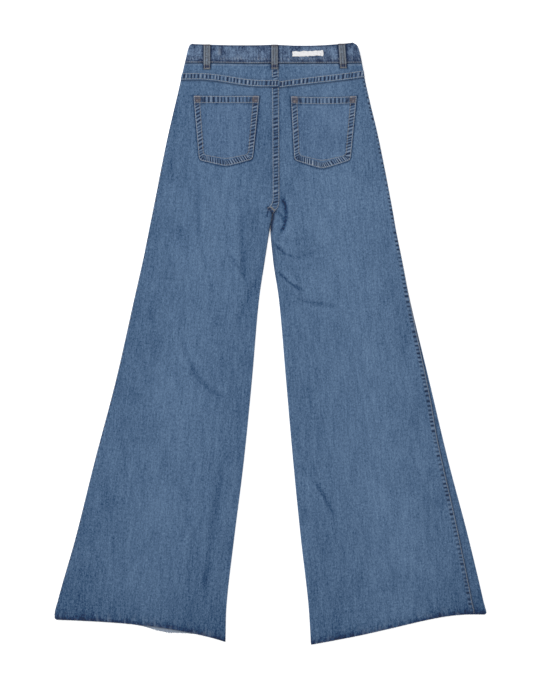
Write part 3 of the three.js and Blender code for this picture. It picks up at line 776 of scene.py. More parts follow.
def between(across, near, far, ease=1.6):
    """1 between two distances and 0 outside, eased over both ends."""
    return smooth((across - near) / ease + 0.5) * smooth((far - across) / ease + 0.5)


def stitched(across, *rows):
    """1 under each row of stitches, fading to its sides."""
    return sum(bump((across - row) / ROW_WIDTH) for row in rows)


# Rows beside the centre seam and where they end. Near the crotch they are drawn apart. Each leg's
# edge gets painted shadow along the slit: how dark, and how far.
CENTRE_ROWS = (1.4, 12.2)
CENTRE_ROW_ENDS = (CROTCH, CROTCH + 9)
SPREAD_TOP = 285
SPREAD_HEIGHT = 28
SPREAD = 0.72
SLIT = {"left": (1.0, 3.2), "right": (2.0, 4.2)}
YOKE_ROWS = (2.2, 12.0)


def spread(y):
    """How far the centre seam's rows are drawn apart towards the crotch."""
    return 1 + SPREAD * np.clip((SPREAD_TOP - y) / SPREAD_HEIGHT, 0, 1) ** 4


def worn(wave):
    """How far puckers are rubbed pale, or kept deep in their grooves."""
    return np.where(wave > 0, 0.5 * wave, 1.15 * wave)


def felled(seed, place, across, pitch, rows, slant=0.0):
    """Height, and wear with painted shade, of a seam with a row near its edge and one far from it.
    """
    wave = puckers(seed, place + slant * across, pitch) * between(across, *rows)
    sunk = stitched(across, *rows)
    rolled = bump(across / 0.9)
    height = PUCKER_HEIGHT * wave - ROW_DEPTH * sunk - 0.35 * rolled
    mottled = wave * (1 + 0.5 * cloud(seed + 2, place / 2.6, across / 3.4))
    core = bump((across - sum(rows) / 2) / 3.0)
    wear_and_shade = worn(mottled) * (0.75 + 0.95 * core) - 0.18 * between(across, *rows)
    # The rolled edge of the seam gets painted shade.
    return height, wear_and_shade - 0.1 * sunk - 0.4 * rolled


def fell_step(across):
    """1 on a felled seam, falling softly to 0 past it."""
    return smooth((FELL_WIDTH + FELL_STEP - across) / (2 * FELL_STEP))


def ditch_shade(across, width=1.6):
    """Painted shade: a dark line on the cloth where it goes in under a seam."""
    return bump(across / width)


# Broad shades, in parts of full white: a pale band down the middle of each leg, and the legs
# darker downwards and towards the hem.
MIDDLE_SHARE = {"left": 0.52, "right": 0.45}
LEG_SHADE = columns("y shade", (560, 0), (180, 0.006), (0, 0), (-240, 0), (-460, -0.012))
SIDE_SHADE = {"left": 0, "right": 0.016}
HEM_SHADE = columns(
    "up shade",
    (0, -0.16), (4, -0.13), (9, -0.07), (14, -0.05), (23, -0.032), (40, -0.024), (65, -0.014),
    (100, -0.004), (160, 0),
)


def leg_shade(side, x, y):
    outer = along(EDGES, f"{side}_outer", y)
    share = (x - outer) / (inner_edge(side, "back", y, Body) - outer)
    band = 0.036 * bump((share - MIDDLE_SHARE[side]) / 0.3) - 0.013
    patches = 0.014 * cloud(21, x / 33, y / 55) + 0.01 * cloud(22, x / 14, y / 30)
    return band + patches + SIDE_SHADE[side] + np.interp(y, LEG_SHADE["y"], LEG_SHADE["shade"])


# Pieces of the tubes.

GRAIN_TURN = {"left": math.radians(-5), "right": math.radians(5)}


def grain_of(side, outer_y, s, cloth):
    """Place on the unrolled cloth: the section stretched straight, turned to the leg's line."""
    cut = section(side, outer_y, "back", cloth)
    share = (cut["start"] + s - cut["quarter"]) / cut["width"]
    x = mix(cut["outer_x"], cut["inner_x"], share)
    y = mix(cut["outer_y"], cut["inner_y"], np.clip(share, 0, 1)) + cut["bowed"]
    turn = GRAIN_TURN[side] if cloth is Body else 0
    return np.stack(
        [x * math.cos(turn) + y * math.sin(turn), y * math.cos(turn) - x * math.sin(turn)], -1
    )


def patch(name, side, levels, s, cloth, materials, marks, recess=0.0):
    """Piece of a tube: levels down the garment, a grid of lengths s, and marks, which gives height,
    wear with painted shade, and shade of the face at its levels, lengths and points."""
    outer_y = np.broadcast_to(levels[:, None], s.shape)
    middle = tube(side, outer_y, s, cloth)
    down, ahead = (np.gradient(middle, axis=axis, edge_order=2) for axis in (0, 1))
    normal = np.cross(down, ahead) * (1 if side == "left" else -1)
    normal /= np.linalg.norm(normal, axis=-1, keepdims=True)
    height, wear_and_shade, shade = marks(outer_y, s, middle)
    half = cloth.thickness / 2
    face = middle + normal * (half - recess + height)[..., None]
    inside = middle - normal * (half + recess)
    grain = grain_of(side, outer_y, s, cloth)
    over_fold = np.abs(normal[..., 2]).min(0) < 0.9
    return cloth_piece(
        name, face, inside, wear_and_shade, shade, grain, materials, over_fold
    )


FOLD_OFFSETS = stations(0, (14, 1.05))
SEAT_END = np.linspace(17, 0, 18)
LEG_END = np.linspace(7, 0, 18)


def back_lengths(side, levels, cloth, count):
    """Lengths across the back: close together at the outseam and at the centre or inseam."""
    first = outseam(side, levels) + SEAM_GAP / 2
    cut = section(side, levels, "back", cloth)
    last = cut["length"] - cut["curl"] * SEAM_GAP / 2
    start = first[:, None] + FOLD_OFFSETS
    end = last[:, None] - mix(SEAT_END, LEG_END, cut["curl"][:, None])
    t = np.linspace(0, 1, count + 2)[1:-1]
    lean = 1 + 0.7 * bump((levels[:, None] - 200) / 130)
    flat = mix(start[:, -1:], end[:, :1], 1 - (1 - t) ** lean)
    return np.concatenate([start, flat, end], 1)


def front_lengths(side, levels, count):
    """Lengths across the front, from the centre or inseam to the opening or outseam."""
    cut = section(side, levels, "front", Body)
    last = cut["length"] - cut["curl"] * SEAM_GAP / 2
    end = -(last[:, None] - mix(SEAT_END, LEG_END, cut["curl"][:, None]))[:, ::-1]
    limit = scoop(side, levels) - scoop_gap(side, levels)
    turn = np.minimum(-FOLD_RADIUS * np.pi / 2, limit - 6)
    flat = end[:, -1:] + (turn[:, None] - end[:, -1:]) * np.linspace(0, 1, count + 1)[1:]
    fold = turn[:, None] + (limit - turn)[:, None] * np.linspace(0, 1, 19)[1:]
    return np.concatenate([end, flat, fold], 1)


def panel_levels(side, top, seat_step, leg_step):
    """Levels from the top to the hem, close together at the crotch and the hem."""
    hem = level(side, "hem")
    return stations(
        top,
        (SADDLE_TOP, seat_step),
        (level(side, "thigh"), 1.5),
        (hem + 24, leg_step),
        (hem, 1.3),
    )


OUTSEAM_ROW = 1.9


def raw_hem(side, outer_y, x, seed):
    """Height, wear and shade near a raw hem: frayed thin, darker, with short pale streaks."""
    up = outer_y - level(side, "hem")
    streak = cloud(seed, x / 2.4, up / 8) * 0.6 + cloud(seed + 1, x / 5.2, up / 14) * 0.5
    near = bump(up / 12)
    height = 0.3 * near * wander(seed + 2, x / 17) - 0.3 * bump(up / 2.2)
    shade = np.interp(up, HEM_SHADE["up"], HEM_SHADE["shade"])
    return height, 0.3 * near * streak, shade + 0.05 * near * streak


def pocket_edge_shade(side, x, y):
    """Where shadow is painted under the edge of a pocket: 1 close under its edge, 0 away from it.
    """
    made = np.zeros(x.shape)
    outline = pocket_outline(side)[0]
    low, high = outline.min(0) - 6, outline.max(0) + 6
    near = (x > low[0]) & (x < high[0]) & (y > low[1]) & (y < high[1])
    if near.any():
        made[near] = bump(from_line(outline, x[near], y[near])[0] / 1.8)
    return made


def back_marks(side):
    def marks(outer_y, s, middle):
        x, y = middle[..., 0], middle[..., 1]
        cut = section(side, outer_y, "back", Body)
        from_outseam = s - outseam(side, outer_y)
        seed = 31 if side == "left" else 41
        wave = puckers(seed, outer_y, 8.2) * between(from_outseam, 3.0, 9.0, 2.0)
        wave = np.where(wave > 0, 0.6, 1.35) * wave * (0.9 + 0.3 * wander(seed + 1, outer_y / 40))
        # Painted shade where the cloth goes in under the outseam.
        rolled = ditch_shade(from_outseam, 1.1)
        height = 0.3 * wave - 0.2 * stitched(from_outseam, OUTSEAM_ROW) - 0.4 * rolled
        wear_and_shade = worn(wave) - 0.12 * bump((from_outseam - 4) / 1.6) - 0.7 * rolled
        # Painted shade in the creases and painted shadow under the pockets' edges.
        shade = leg_shade(side, x, y) - trough_marks(x, y)[1] - 0.15 * pocket_edge_shade(side, x, y)
        sewn = 1 - cut["curl"]
        from_centre = cut["length"] - s
        if side == "left":
            on_fell = from_centre / spread(y)
            step = fell_step(on_fell)
            raised, rubbed = felled(seed + 3, y, on_fell, 6.6, CENTRE_ROWS, 0.25)
            # A painted shadow beside the felled seam's step.
            beside = bump((on_fell - FELL_WIDTH - 1.8) / 1.3)
            height = height + sewn * (FELL_RAISE * step + raised)
            wear_and_shade = wear_and_shade + sewn * (rubbed - 0.25 * beside)
        else:
            # Painted shade in the ditch beside the centre seam.
            shade = shade - 0.03 * sewn * bump((from_centre - 2) / 1.3)
        # Painted shadow along each leg's edge in the slit between the legs.
        strength, reach = SLIT[side]
        slit = between(y, 214, 252, 10) + 0.25 * between(y, 120, 214, 60)
        wear_and_shade = wear_and_shade - strength * cut["curl"] * slit * bump(from_centre / reach)
        under_yoke = y - seam_height(side, "yoke seam", s, Body)
        # Painted shadow under the yoke's lower edge.
        wear_and_shade = wear_and_shade - 0.85 * ditch_shade(under_yoke, 1.9)
        hem_height, hem_rub, hem_shade = raw_hem(side, outer_y, x, seed + 9)
        return height + hem_height, wear_and_shade + hem_rub, shade + hem_shade

    return marks


def front_marks(side):
    def marks(outer_y, s, middle):
        x = middle[..., 0]
        from_limit = scoop(side, outer_y) - s
        # Painted shade along the edge of the pocket's opening.
        rolled = ditch_shade(from_limit, 1.2)
        hem_height, hem_rub, hem_shade = raw_hem(side, outer_y, x, 53 if side == "left" else 57)
        if side == "left":
            up = outer_y - level(side, "hem")
            in_dip = bump((x - HEM_DIP_X) / (1.5 * HEM_DIP_HALF_WIDTH))
            hem_rub = hem_rub + in_dip * bump(up / 9) * (1.0 + 0.7 * cloud(59, x / 2.2, up / 3))
            hem_shade = hem_shade * (1 - in_dip)
        flat = smooth((s + 2) / 4)
        height = (-0.3 * rolled + hem_height) * flat
        return height, hem_rub - 0.6 * rolled, hem_shade - 0.02

    return marks


def yoke_marks(side):
    def marks(outer_y, s, middle):
        x, y = middle[..., 0], middle[..., 1]
        above = y - seam_height(side, "yoke seam", s, Body)
        under_band = seam_height(side, "band seam", s, Body) - y
        seed = 61 if side == "left" else 71
        step = fell_step(above)
        raised, rubbed = felled(seed, x, above, 6.8, YOKE_ROWS, -0.1)
        # A painted shadow beside the felled seam's step, and under the band's lower edge.
        beside = bump((above - FELL_WIDTH - 1.8) / 1.3)
        height = FELL_RAISE * step + raised
        wear_and_shade = rubbed - 0.25 * beside - 0.8 * ditch_shade(under_band, 1.7)
        wear_and_shade = wear_and_shade + 0.3 * bump((under_band - 3.2) / 0.9) * (1 + 0.6 * wander(seed + 8, x / 9))
        cut = section(side, outer_y, "back", Body)
        from_centre = cut["length"] - s
        shade = leg_shade(side, x, y)
        if side == "left":
            level_step = fell_step(from_centre)
            more, rubbed = felled(seed + 3, y, from_centre, 6.6, CENTRE_ROWS, 0.25)
            open_part = 1 - step
            height = height + open_part * (FELL_RAISE * level_step + more)
            wear_and_shade = wear_and_shade + open_part * rubbed
        else:
            # Painted shade in the ditch beside the centre seam.
            shade = shade - 0.03 * bump((from_centre - 2) / 1.3)
            shade = shade - 0.2 * bump((from_centre - 3.4) / 2.8) * bump((above - 7) / 5.5)
        # Painted shade where the cloth goes in under the outseam.
        wear_and_shade = wear_and_shade - 0.5 * ditch_shade(s - outseam(side, outer_y), 1.2)
        # Painted shadow beside the belt loops, strongest at the band's edge.
        beside = loop_side_shade(x, y)
        wear_and_shade = wear_and_shade - 0.7 * beside * bump(under_band / 11)
        return height, wear_and_shade, shade - 0.1 * beside

    return marks


BAND_ROW = 1.7
BAND_DASHES = 4.2
BAND_BLOBS = 8.0


def loop_side_shade(x, y):
    """Where shadow is painted beside the belt loops: 1 on the band close beside a loop, 0 away from
    it.
    """
    made = np.zeros(x.shape)
    for top_x, bottom_x, bottom_y in BACK_LOOPS.values():
        middle = mix(bottom_x, top_x, np.clip((y - bottom_y) / (570 - bottom_y), 0, 1))
        past = np.abs(x - middle) - LOOP_WIDTH / 2
        made += bump((past - 0.9) / 1.5) * smooth((y - bottom_y + 3) / 4)
    return made


def band_marks(side):
    def marks(outer_y, s, middle):
        x, y = middle[..., 0], middle[..., 1]
        above = y - seam_height(side, "band seam", s, Band)
        below = seam_height(side, "band top", s, Band) - y
        seed = 81 if side == "left" else 91
        place = np.where(s > 0, x, 500 + x)
        wave = puckers(seed, place + 0.3 * above, 5.6)
        dashes = np.minimum(wave, 0) * bump((above - BAND_DASHES) / 1.9)
        blobs = np.maximum(wave, 0) * bump((above - BAND_BLOBS) / 2.2)
        sunk = stitched(above, BAND_ROW)
        rolled = bump(above / 0.8) + bump(below / 0.9)
        height = 0.35 * (dashes + blobs) - 0.25 * sunk - 0.45 * rolled
        # Painted shade along the band's lower edge.
        wear_and_shade = 0.75 * dashes + 0.4 * blobs - 0.1 * sunk - 0.45 * bump(above / 0.8)
        wear_and_shade = wear_and_shade - 0.22 * bump((above - BAND_DASHES) / 1.5) - 0.55 * bump((below - 1.6) / 1.1)
        wear_and_shade = wear_and_shade + 0.3 * bump((x + 96) / 3) * bump((above - 18) / 12) * (s > 0)
        patches = cloud(seed + 7, x / 5.5, above / 11)
        wear_and_shade = wear_and_shade - 0.5 * np.maximum(patches - 0.25, 0) * between(above, 3, 15, 5)
        wear_and_shade = wear_and_shade + 0.2 * np.maximum(-patches - 0.35, 0) * between(above, 5, 18, 5)
        shade = 0.075 * cloud(seed + 5, x / 7, y / 8) + 0.05 * cloud(seed + 6, x / 19, y / 13)
        shade = shade + 0.035 * bump((above - 19) / 9)
        # Painted shadow beside the belt loops.
        shade = shade - 0.2 * loop_side_shade(x, y) * (s > 0)
        outward = np.where(s > 0, 1.0, 0.25)
        return height * outward, wear_and_shade, shade

    return marks


# Pieces laid on the back.


def laid_piece(node, surface, thickness, materials):
    """Sheet on the back. surface gives its points, underside, added height and marks."""
    x, y, height, raised, wear_and_shade, shade = surface
    inside = np.stack([x, y, height], -1)
    face = np.stack([x, y, height + thickness + raised], -1)
    grain = np.stack([x, y], -1)
    return cloth_piece(node, face, inside, wear_and_shade, shade, grain, materials)


POCKET_ROWS = (1.7, 11.6)
POCKET_HEM_ROWS = (1.6, 13.2)


def pocket_length(side):
    corners = POCKETS[side]
    return corners["top_outer"][1] - corners["bottom_outer"][1]


def pocket_width(side):
    corners = POCKETS[side]
    return abs(corners["top_inner"][0] - corners["top_outer"][0])


def pocket_place(side, u, v):
    """Point of a pocket a share u across from its outer side and v down: sides straight, the
    bottom drawn to a soft point, the top sagging, the lower corners cut by a circle's arc."""
    corners = {name: np.array(place) for name, place in POCKETS[side].items()}
    length = pocket_length(side)
    middle_y = (corners["bottom_outer"][1] + corners["bottom_inner"][1]) / 2
    drop = middle_y - corners["tip"][1]
    past = np.clip(v * length - (length - POCKET_CORNER), 0, POCKET_CORNER)
    cut = (POCKET_CORNER - np.sqrt(POCKET_CORNER**2 - past**2)) / pocket_width(side)
    share = mix(cut, 1 - cut, u)
    outer = [mix(corners["top_outer"][k], corners["bottom_outer"][k], v) for k in (0, 1)]
    inner = [mix(corners["top_inner"][k], corners["bottom_inner"][k], v) for k in (0, 1)]
    beside = np.hypot(2 * share - 1, POCKET_POINT_ROUND)
    point = drop * v**POCKET_POINT_RISE * (1 + POCKET_POINT_ROUND - beside)
    sag = corners["sag"][1] * np.sin(np.pi * share) * (1 - v) ** 2
    return mix(outer[0], inner[0], share), mix(outer[1], inner[1], share) - point - sag


def pocket_outline(side, step=2.0):
    """Sides and bottom of a pocket at even steps, from one top corner round to the other."""
    run = np.linspace(0, 1, 120)
    u = np.concatenate([0 * run, run, 0 * run + 1])
    v = np.concatenate([run, 0 * run + 1, run[::-1]])
    x, y = pocket_place(side, u, v)
    run = np.concatenate([[0], np.cumsum(np.hypot(np.diff(x), np.diff(y)))])
    even = np.arange(0, run[-1], step)
    return np.stack([np.interp(even, run, x), np.interp(even, run, y)], -1), run[-1]


POCKET_ROW_TURNS = (0.5, 6.5)
POCKET_SIDE_PITCH = 6.5
POCKET_BOTTOM_PITCH = 4.6


def pocket_surface(side, u, v):
    """Points, underside height, added height and marks of a pocket at shares u and v."""
    x, y = pocket_place(side, u, v)
    outline, run = pocket_outline(side)
    away, place = from_line(outline, x, y)
    away = np.abs(away)
    length = pocket_length(side)
    below = v * length
    seed = 101 if side == "left" else 111
    slant = 0.07 if side == "left" else -0.07
    sides, bottom = length / POCKET_SIDE_PITCH, (run - 2 * length) / POCKET_BOTTOM_PITCH
    stops = (0, length, run - length, run)
    beat = np.interp(place * run, stops, (0, sides, sides + bottom, 2 * sides + bottom))
    wave = puckers(seed, beat + slant * away, 1.0) * between(away, *POCKET_ROWS, 2.2)
    wave = wave * smooth((below - POCKET_HEM - 1) / 3)
    low = smooth((below - length + 14) / 12)
    wave = wave * (1 + 0.55 * low)
    ends = 1.6 * wander(seed + 2, x / 6.0)
    hem = between(below, POCKET_HEM_ROWS[0] + 0.8 + ends, POCKET_HEM_ROWS[1], 2.2)
    hem = hem * smooth((away - 16) / 8) * (0.75 + 0.5 * wander(seed + 3, x / 17))
    bars = puckers(seed + 4, x, 7.2) * hem
    on_hem = smooth((POCKET_HEM + FELL_STEP - below) / FELL_STEP)
    sunk = np.minimum(stitched(away, *POCKET_ROWS) + stitched(below, *POCKET_HEM_ROWS), 1)
    rolled = np.minimum(bump(away / 1.0) + bump(below / 1.0), 1)
    raised = POCKET_HEM_RAISE * on_hem + 0.38 * (wave + bars) - 0.24 * sunk - 0.45 * rolled
    inside_rows = np.maximum(between(away, *POCKET_ROWS), between(below, *POCKET_HEM_ROWS))
    # Painted shade along the pocket's rolled edges.
    wear_and_shade = worn(1.3 * (wave + bars)) - 0.14 * inside_rows - 0.35 * rolled - 0.1 * sunk
    corner = low * bump((2 * np.abs(u - 0.5) - 0.9) / 0.22)
    rings = 0.3 * bump((away - 7.6) / 1.3) - 0.5 * bump((away - 4.6) / 1.2)
    wear_and_shade = wear_and_shade + corner * rings - 0.3 * low * bump((away - POCKET_ROWS[1] - 2) / 1.4)
    # Paler beside the outer row, and painted shade just below the hem's step.
    wear_and_shade = wear_and_shade + 0.14 * bump((away - 2.4) / 0.9) - 0.25 * bump((below - POCKET_HEM - 1.6) / 1.1)
    full = np.sin(np.pi * u) * np.sin(np.pi * np.clip(v, 0, 1))
    folds = cloud(seed + 7, (x + y) / 30, (x - y) / 55) * 0.35 * full
    height = back_skin(x, y) + LAID_GAP + 0.5 * full + np.maximum(folds, -0.45 * full)
    # Painted light on the raised folds and shade in the low ones, and painted shade just below the
    # hem's step.
    shade = leg_shade(side, x, y) + 0.02 * folds - 0.03 * bump((below - POCKET_HEM - 2) / 1.4)
    from_side = np.minimum(u, 1 - u) * pocket_width(side)
    beyond_tack = bump((from_side - 15.5 - 0.25 * below) / 2.6) * bump((below - 8) / 7)
    under_tack = bump((from_side - 9) / 6) * bump((below - 17) / 3)
    wear_and_shade = wear_and_shade - 0.85 * beyond_tack - 0.4 * under_tack
    return x, y, height, raised, wear_and_shade, shade


def band_edges(side, x, layer="back"):
    """Heights at which the band's top edge and its seam pass x."""
    for edge in ("band top", "band seam"):
        outer_y = level(side, edge)
        yield tube(side, outer_y, length_at(side, outer_y, x, Band, layer), Band)[1]


def loop_surface(name, rows, offsets):
    """Points, underside height, added height and marks of a belt loop over the back."""
    top_x, bottom_x, bottom_y = BACK_LOOPS[name]
    side = "left" if top_x < BAND_CENTRE_BACK else "right"
    top, seam = band_edges(side, top_x)
    lower, upper = mix(seam, bottom_y, 0.5), mix(seam, top, 0.7)
    stops = np.array([bottom_y, lower, seam - 3, seam - 0.8, seam + 2, upper, top])
    over = stops.copy()
    over[3], over[6] = seam + 2, top - 1
    y = mix(top, bottom_y, rows)

    def middle(at):
        return mix(bottom_x, top_x, (at - bottom_y) / (top - bottom_y))

    heights = back_skin(middle(stops)[:, None] + offsets, over[:, None])
    x = middle(y)[:, None] + offsets
    height = np.zeros(x.shape)
    for shift in (-1.0, -0.5, 0.0, 0.5, 1.0):
        for k in range(len(offsets)):
            height[:, k] += np.interp(y + shift, stops, heights[:, k]) / 5
    y = np.broadcast_to(y[:, None], x.shape)
    from_edge = LOOP_WIDTH / 2 - np.abs(offsets)
    from_end = np.minimum(top - y, y - bottom_y)
    seed = {"left": 121, "centre": 125, "right": 129}[name]
    rolled = np.minimum(bump(from_edge / 0.9) + bump(from_end / 0.9), 1)
    sunk = stitched(from_edge, LOOP_ROW) * np.ones(y.shape)
    raised = 0.25 * bump(offsets / 3.2) - 0.4 * rolled - 0.2 * sunk
    pale = 0.2 * bump((np.abs(offsets) - 4.9) / 0.8) + 0.1 * bump(offsets / 1.3)
    wear_and_shade = pale * (1 + 0.6 * wander(seed, y / 5)) - 0.5 * rolled
    shade = 0.04 - 0.09 * bump((np.abs(offsets) - 2.4) / 1.0)
    shade = shade - 0.26 * bump((y - bottom_y - 5.6) / 2.6) - 0.12 * bump((top - y) / 2.4)
    return x, y, height + LAID_GAP, raised, wear_and_shade, shade


LOOP_ROW = 2.0


def front_loop_surface(side, rows, offsets):
    """The same for a belt loop flat under the front of the band."""
    x = FRONT_LOOPS[side] + offsets[None, :]
    top, seam = band_edges(side, x[0, 0], "front")
    y = mix(top, seam - FRONT_LOOP_END, rows)[:, None]
    x, y = np.broadcast_arrays(x, y)
    flat = np.zeros(x.shape)
    rolled = flat + bump((LOOP_WIDTH / 2 - np.abs(offsets)) / 0.9)
    wear_and_shade = 0.25 * bump(offsets / 2.3) - 0.6 * rolled
    return x, y, flat + LOOP, 0.3 * rolled, wear_and_shade, flat


def label_place(u, v):
    """Point of the strip u and v mm from its middle, turned a little."""
    x = LABEL_CENTRE[0] + u - v * LABEL_TILT
    return x, LABEL_CENTRE[1] + v + u * LABEL_TILT


# Thread.

UP = (0.0, 0.0, 1.0)


def tube_faces(length, around):
    """Quads of a closed tube of so many rings and points round each, with its two ends."""
    at = np.arange(length * around).reshape(length, around)
    ahead = np.roll(at, -1, axis=1)
    wall = np.stack([at[:-1], ahead[:-1], ahead[1:], at[1:]], -1).reshape(-1, 4)
    caps = [
        [ring[0], ring[k], ring[k + 1], ring[k + 2]]
        for ring in (np.roll(at[0][::-1], 1), at[-1])
        for k in range(1, around - 2, 2)
    ]
    return np.concatenate([wall, np.array(caps)])


def threads(centres, normals, radii, round_count=6, squash=0.8):
    """Closed tubes along lines of points: rings of the given radii, across each line's run."""
    ahead = np.gradient(centres, axis=1)
    ahead /= np.linalg.norm(ahead, axis=-1, keepdims=True)
    side = np.cross(ahead, normals)
    side /= np.linalg.norm(side, axis=-1, keepdims=True)
    up = np.cross(side, ahead)
    turn = np.linspace(0, 2 * np.pi, round_count, endpoint=False)
    across = np.cos(turn)[:, None] * side[..., None, :]
    rise = squash * np.sin(turn)[:, None] * up[..., None, :]
    rings = centres[..., None, :] + np.broadcast_to(radii, centres.shape[:2])[..., None, None] * (
        across + rise
    )
    count, length = centres.shape[:2]
    starts = np.arange(count)[:, None, None] * length * round_count
    quads = (tube_faces(length, round_count) + starts).reshape(-1, 4)
    points = rings.reshape(-1, 3)
    return points, outward(points, [quads])


STITCH_SHARES = np.linspace(0, 1, 5)


def sew(points, normals, sizes, spacing=None):
    """Lines of stitches along a path: from each needle hole up over the cloth and down again,
    by half a sine, in even steps of the pitch."""
    stitch = sizes.stitch_length / MM
    pitch = stitch * (spacing or sizes.stitch_spacing)
    run = np.concatenate([[0], np.cumsum(np.linalg.norm(np.diff(points, axis=0), axis=-1))])
    count = int(run[-1] // pitch)
    first = (run[-1] - count * pitch) / 2 + (pitch - stitch) / 2
    where = first + np.arange(count)[:, None] * pitch + STITCH_SHARES * stitch
    at = np.stack([np.interp(where, run, points[:, k]) for k in range(3)], -1)
    out = np.stack([np.interp(where, run, normals[:, k]) for k in range(3)], -1)
    out /= np.linalg.norm(out, axis=-1, keepdims=True)
    radius = sizes.thread_width / MM / 2
    arch = np.sin(np.pi * STITCH_SHARES)
    rise = radius * (0.95 * arch - 0.45)
    return at + out * rise[:, None], out, radius * (0.45 + 0.55 * arch**0.5)


def sewn_piece(name, rows, material, sizes, spacing=None):
    """One object of all the rows, each (points, normals), kept above the surface below."""
    parts = [sew(points, normals, sizes, spacing) for points, normals in rows]
    centres = np.concatenate([part[0] for part in parts])
    centres[..., 2] = np.maximum(centres[..., 2], sizes.thread_width / MM / 2)
    normals = np.concatenate([part[1] for part in parts])
    points, quads = threads(centres, normals, parts[0][2])
    return new_piece(name, points, quads, [material])


def on_face(side, cloth, marks, outer_y, s):
    """Points and normals of a patch's face along a line of levels and lengths."""
    outer_y, s = np.broadcast_arrays(np.asarray(outer_y, float), np.asarray(s, float))
    middle = tube(side, outer_y, s, cloth)
    normal = facing_up(side, outer_y, s, cloth)
    height = marks(outer_y, s, middle)[0]
    return middle + normal * (cloth.thickness / 2 + height)[..., None], normal


def level_above(side, seam, s, cloth, above):
    """Level that passes a given height above a seam's level at a length s."""
    base = np.full(np.shape(s), level(side, seam))
    seam_y = tube(side, base, s, cloth)[..., 1]
    found = base + above
    for _ in range(5):
        found = found + above - (tube(side, found, s, cloth)[..., 1] - seam_y)
    return found


def laid_line(surface, thickness, *places):
    """Points and normals on top of a laid piece along a line of its own places."""
    x, y, height, raised = surface(*places)[:4]
    points = np.stack([x, y, height + thickness + raised], -1)
    return points, np.broadcast_to(UP, points.shape)


# Materials.


def put(tree, kind, settings=None, inputs=None):
    """Node with its settings, and its inputs set to values or joined to sockets."""
    made = tree.nodes.new(kind)
    for name, value in (settings or {}).items():
        setattr(made, name, value)
    for name, value in (inputs or {}).items():
        if isinstance(value, bpy.types.NodeSocket):
            tree.links.new(value, made.inputs[name])
        else:
            made.inputs[name].default_value = value
    return made


def maths(tree, operation, *values):
    """Socket with the result of a Math node."""
    return put(tree, "ShaderNodeMath", {"operation": operation}, dict(enumerate(values))).outputs[0]


def vector_maths(tree, operation, *values):
    """Socket with the result of a Vector Math node."""
    settings = {"operation": operation}
    return put(tree, "ShaderNodeVectorMath", settings, dict(enumerate(values))).outputs[0]


def blend_colours(tree, share, a, b):
    """Socket with a share of the way from colour a to colour b."""
    settings = {"data_type": "RGBA", "clamp_factor": True}
    return put(tree, "ShaderNodeMix", settings, {0: share, 6: a, 7: b}).outputs[2]


def noise(tree, vector, size, detail=2.0, roughness=0.5):
    """Socket with noise about 0, from -0.5 to 0.5, its grains size = (x, y) across."""
    scaled = put(
        tree,
        "ShaderNodeMapping",
        inputs={"Vector": vector, "Scale": (1 / size[0], 1 / size[1], 1 / size[0])},
    )
    made = put(
        tree,
        "ShaderNodeTexNoise",
        {"noise_dimensions": "3D"},
        {"Vector": scaled.outputs[0], "Scale": 1.0, "Detail": detail, "Roughness": roughness},
    )
    return maths(tree, "SUBTRACT", made.outputs["Fac"], 0.5)


def new_group(name, inputs, outputs):
    """Shader node group with its sockets, and the nodes at its two ends."""
    group = bpy.data.node_groups.new(name, "ShaderNodeTree")
    for socket, kind, default in inputs:
        made = group.interface.new_socket(
            name=socket, in_out="INPUT", socket_type=f"NodeSocket{kind}"
        )
        made.default_value = default
    for socket, kind in outputs:
        group.interface.new_socket(name=socket, in_out="OUTPUT", socket_type=f"NodeSocket{kind}")
    return group, group.nodes.new("NodeGroupInput").outputs, group.nodes.new("NodeGroupOutput")


def closed_group(group, ends, **results):
    """The group with its results joined to its end."""
    for name, value in results.items():
        group.links.new(value, ends.inputs[name])
    return group


GREY = (0.5, 0.5, 0.5, 1.0)

# The yarn: colour of a step of its tone, pitches of its twill, and its noises, each with the size
# of its grains, its detail and its strength.
YARN_TINT = (0.53, 0.75, 1.02)
TWILL_PITCH = (0.00072, 0.0013)
DENIM_NOISES = (
    ((0.0032, 0.0052), 1.0, 0.21),
    ((0.0028, 0.026), 1.0, 0.14),
    ((0.0088, 0.072), 1.0, 0.095),
    ((0.0016, 0.0026), 0.0, 0.13),
)


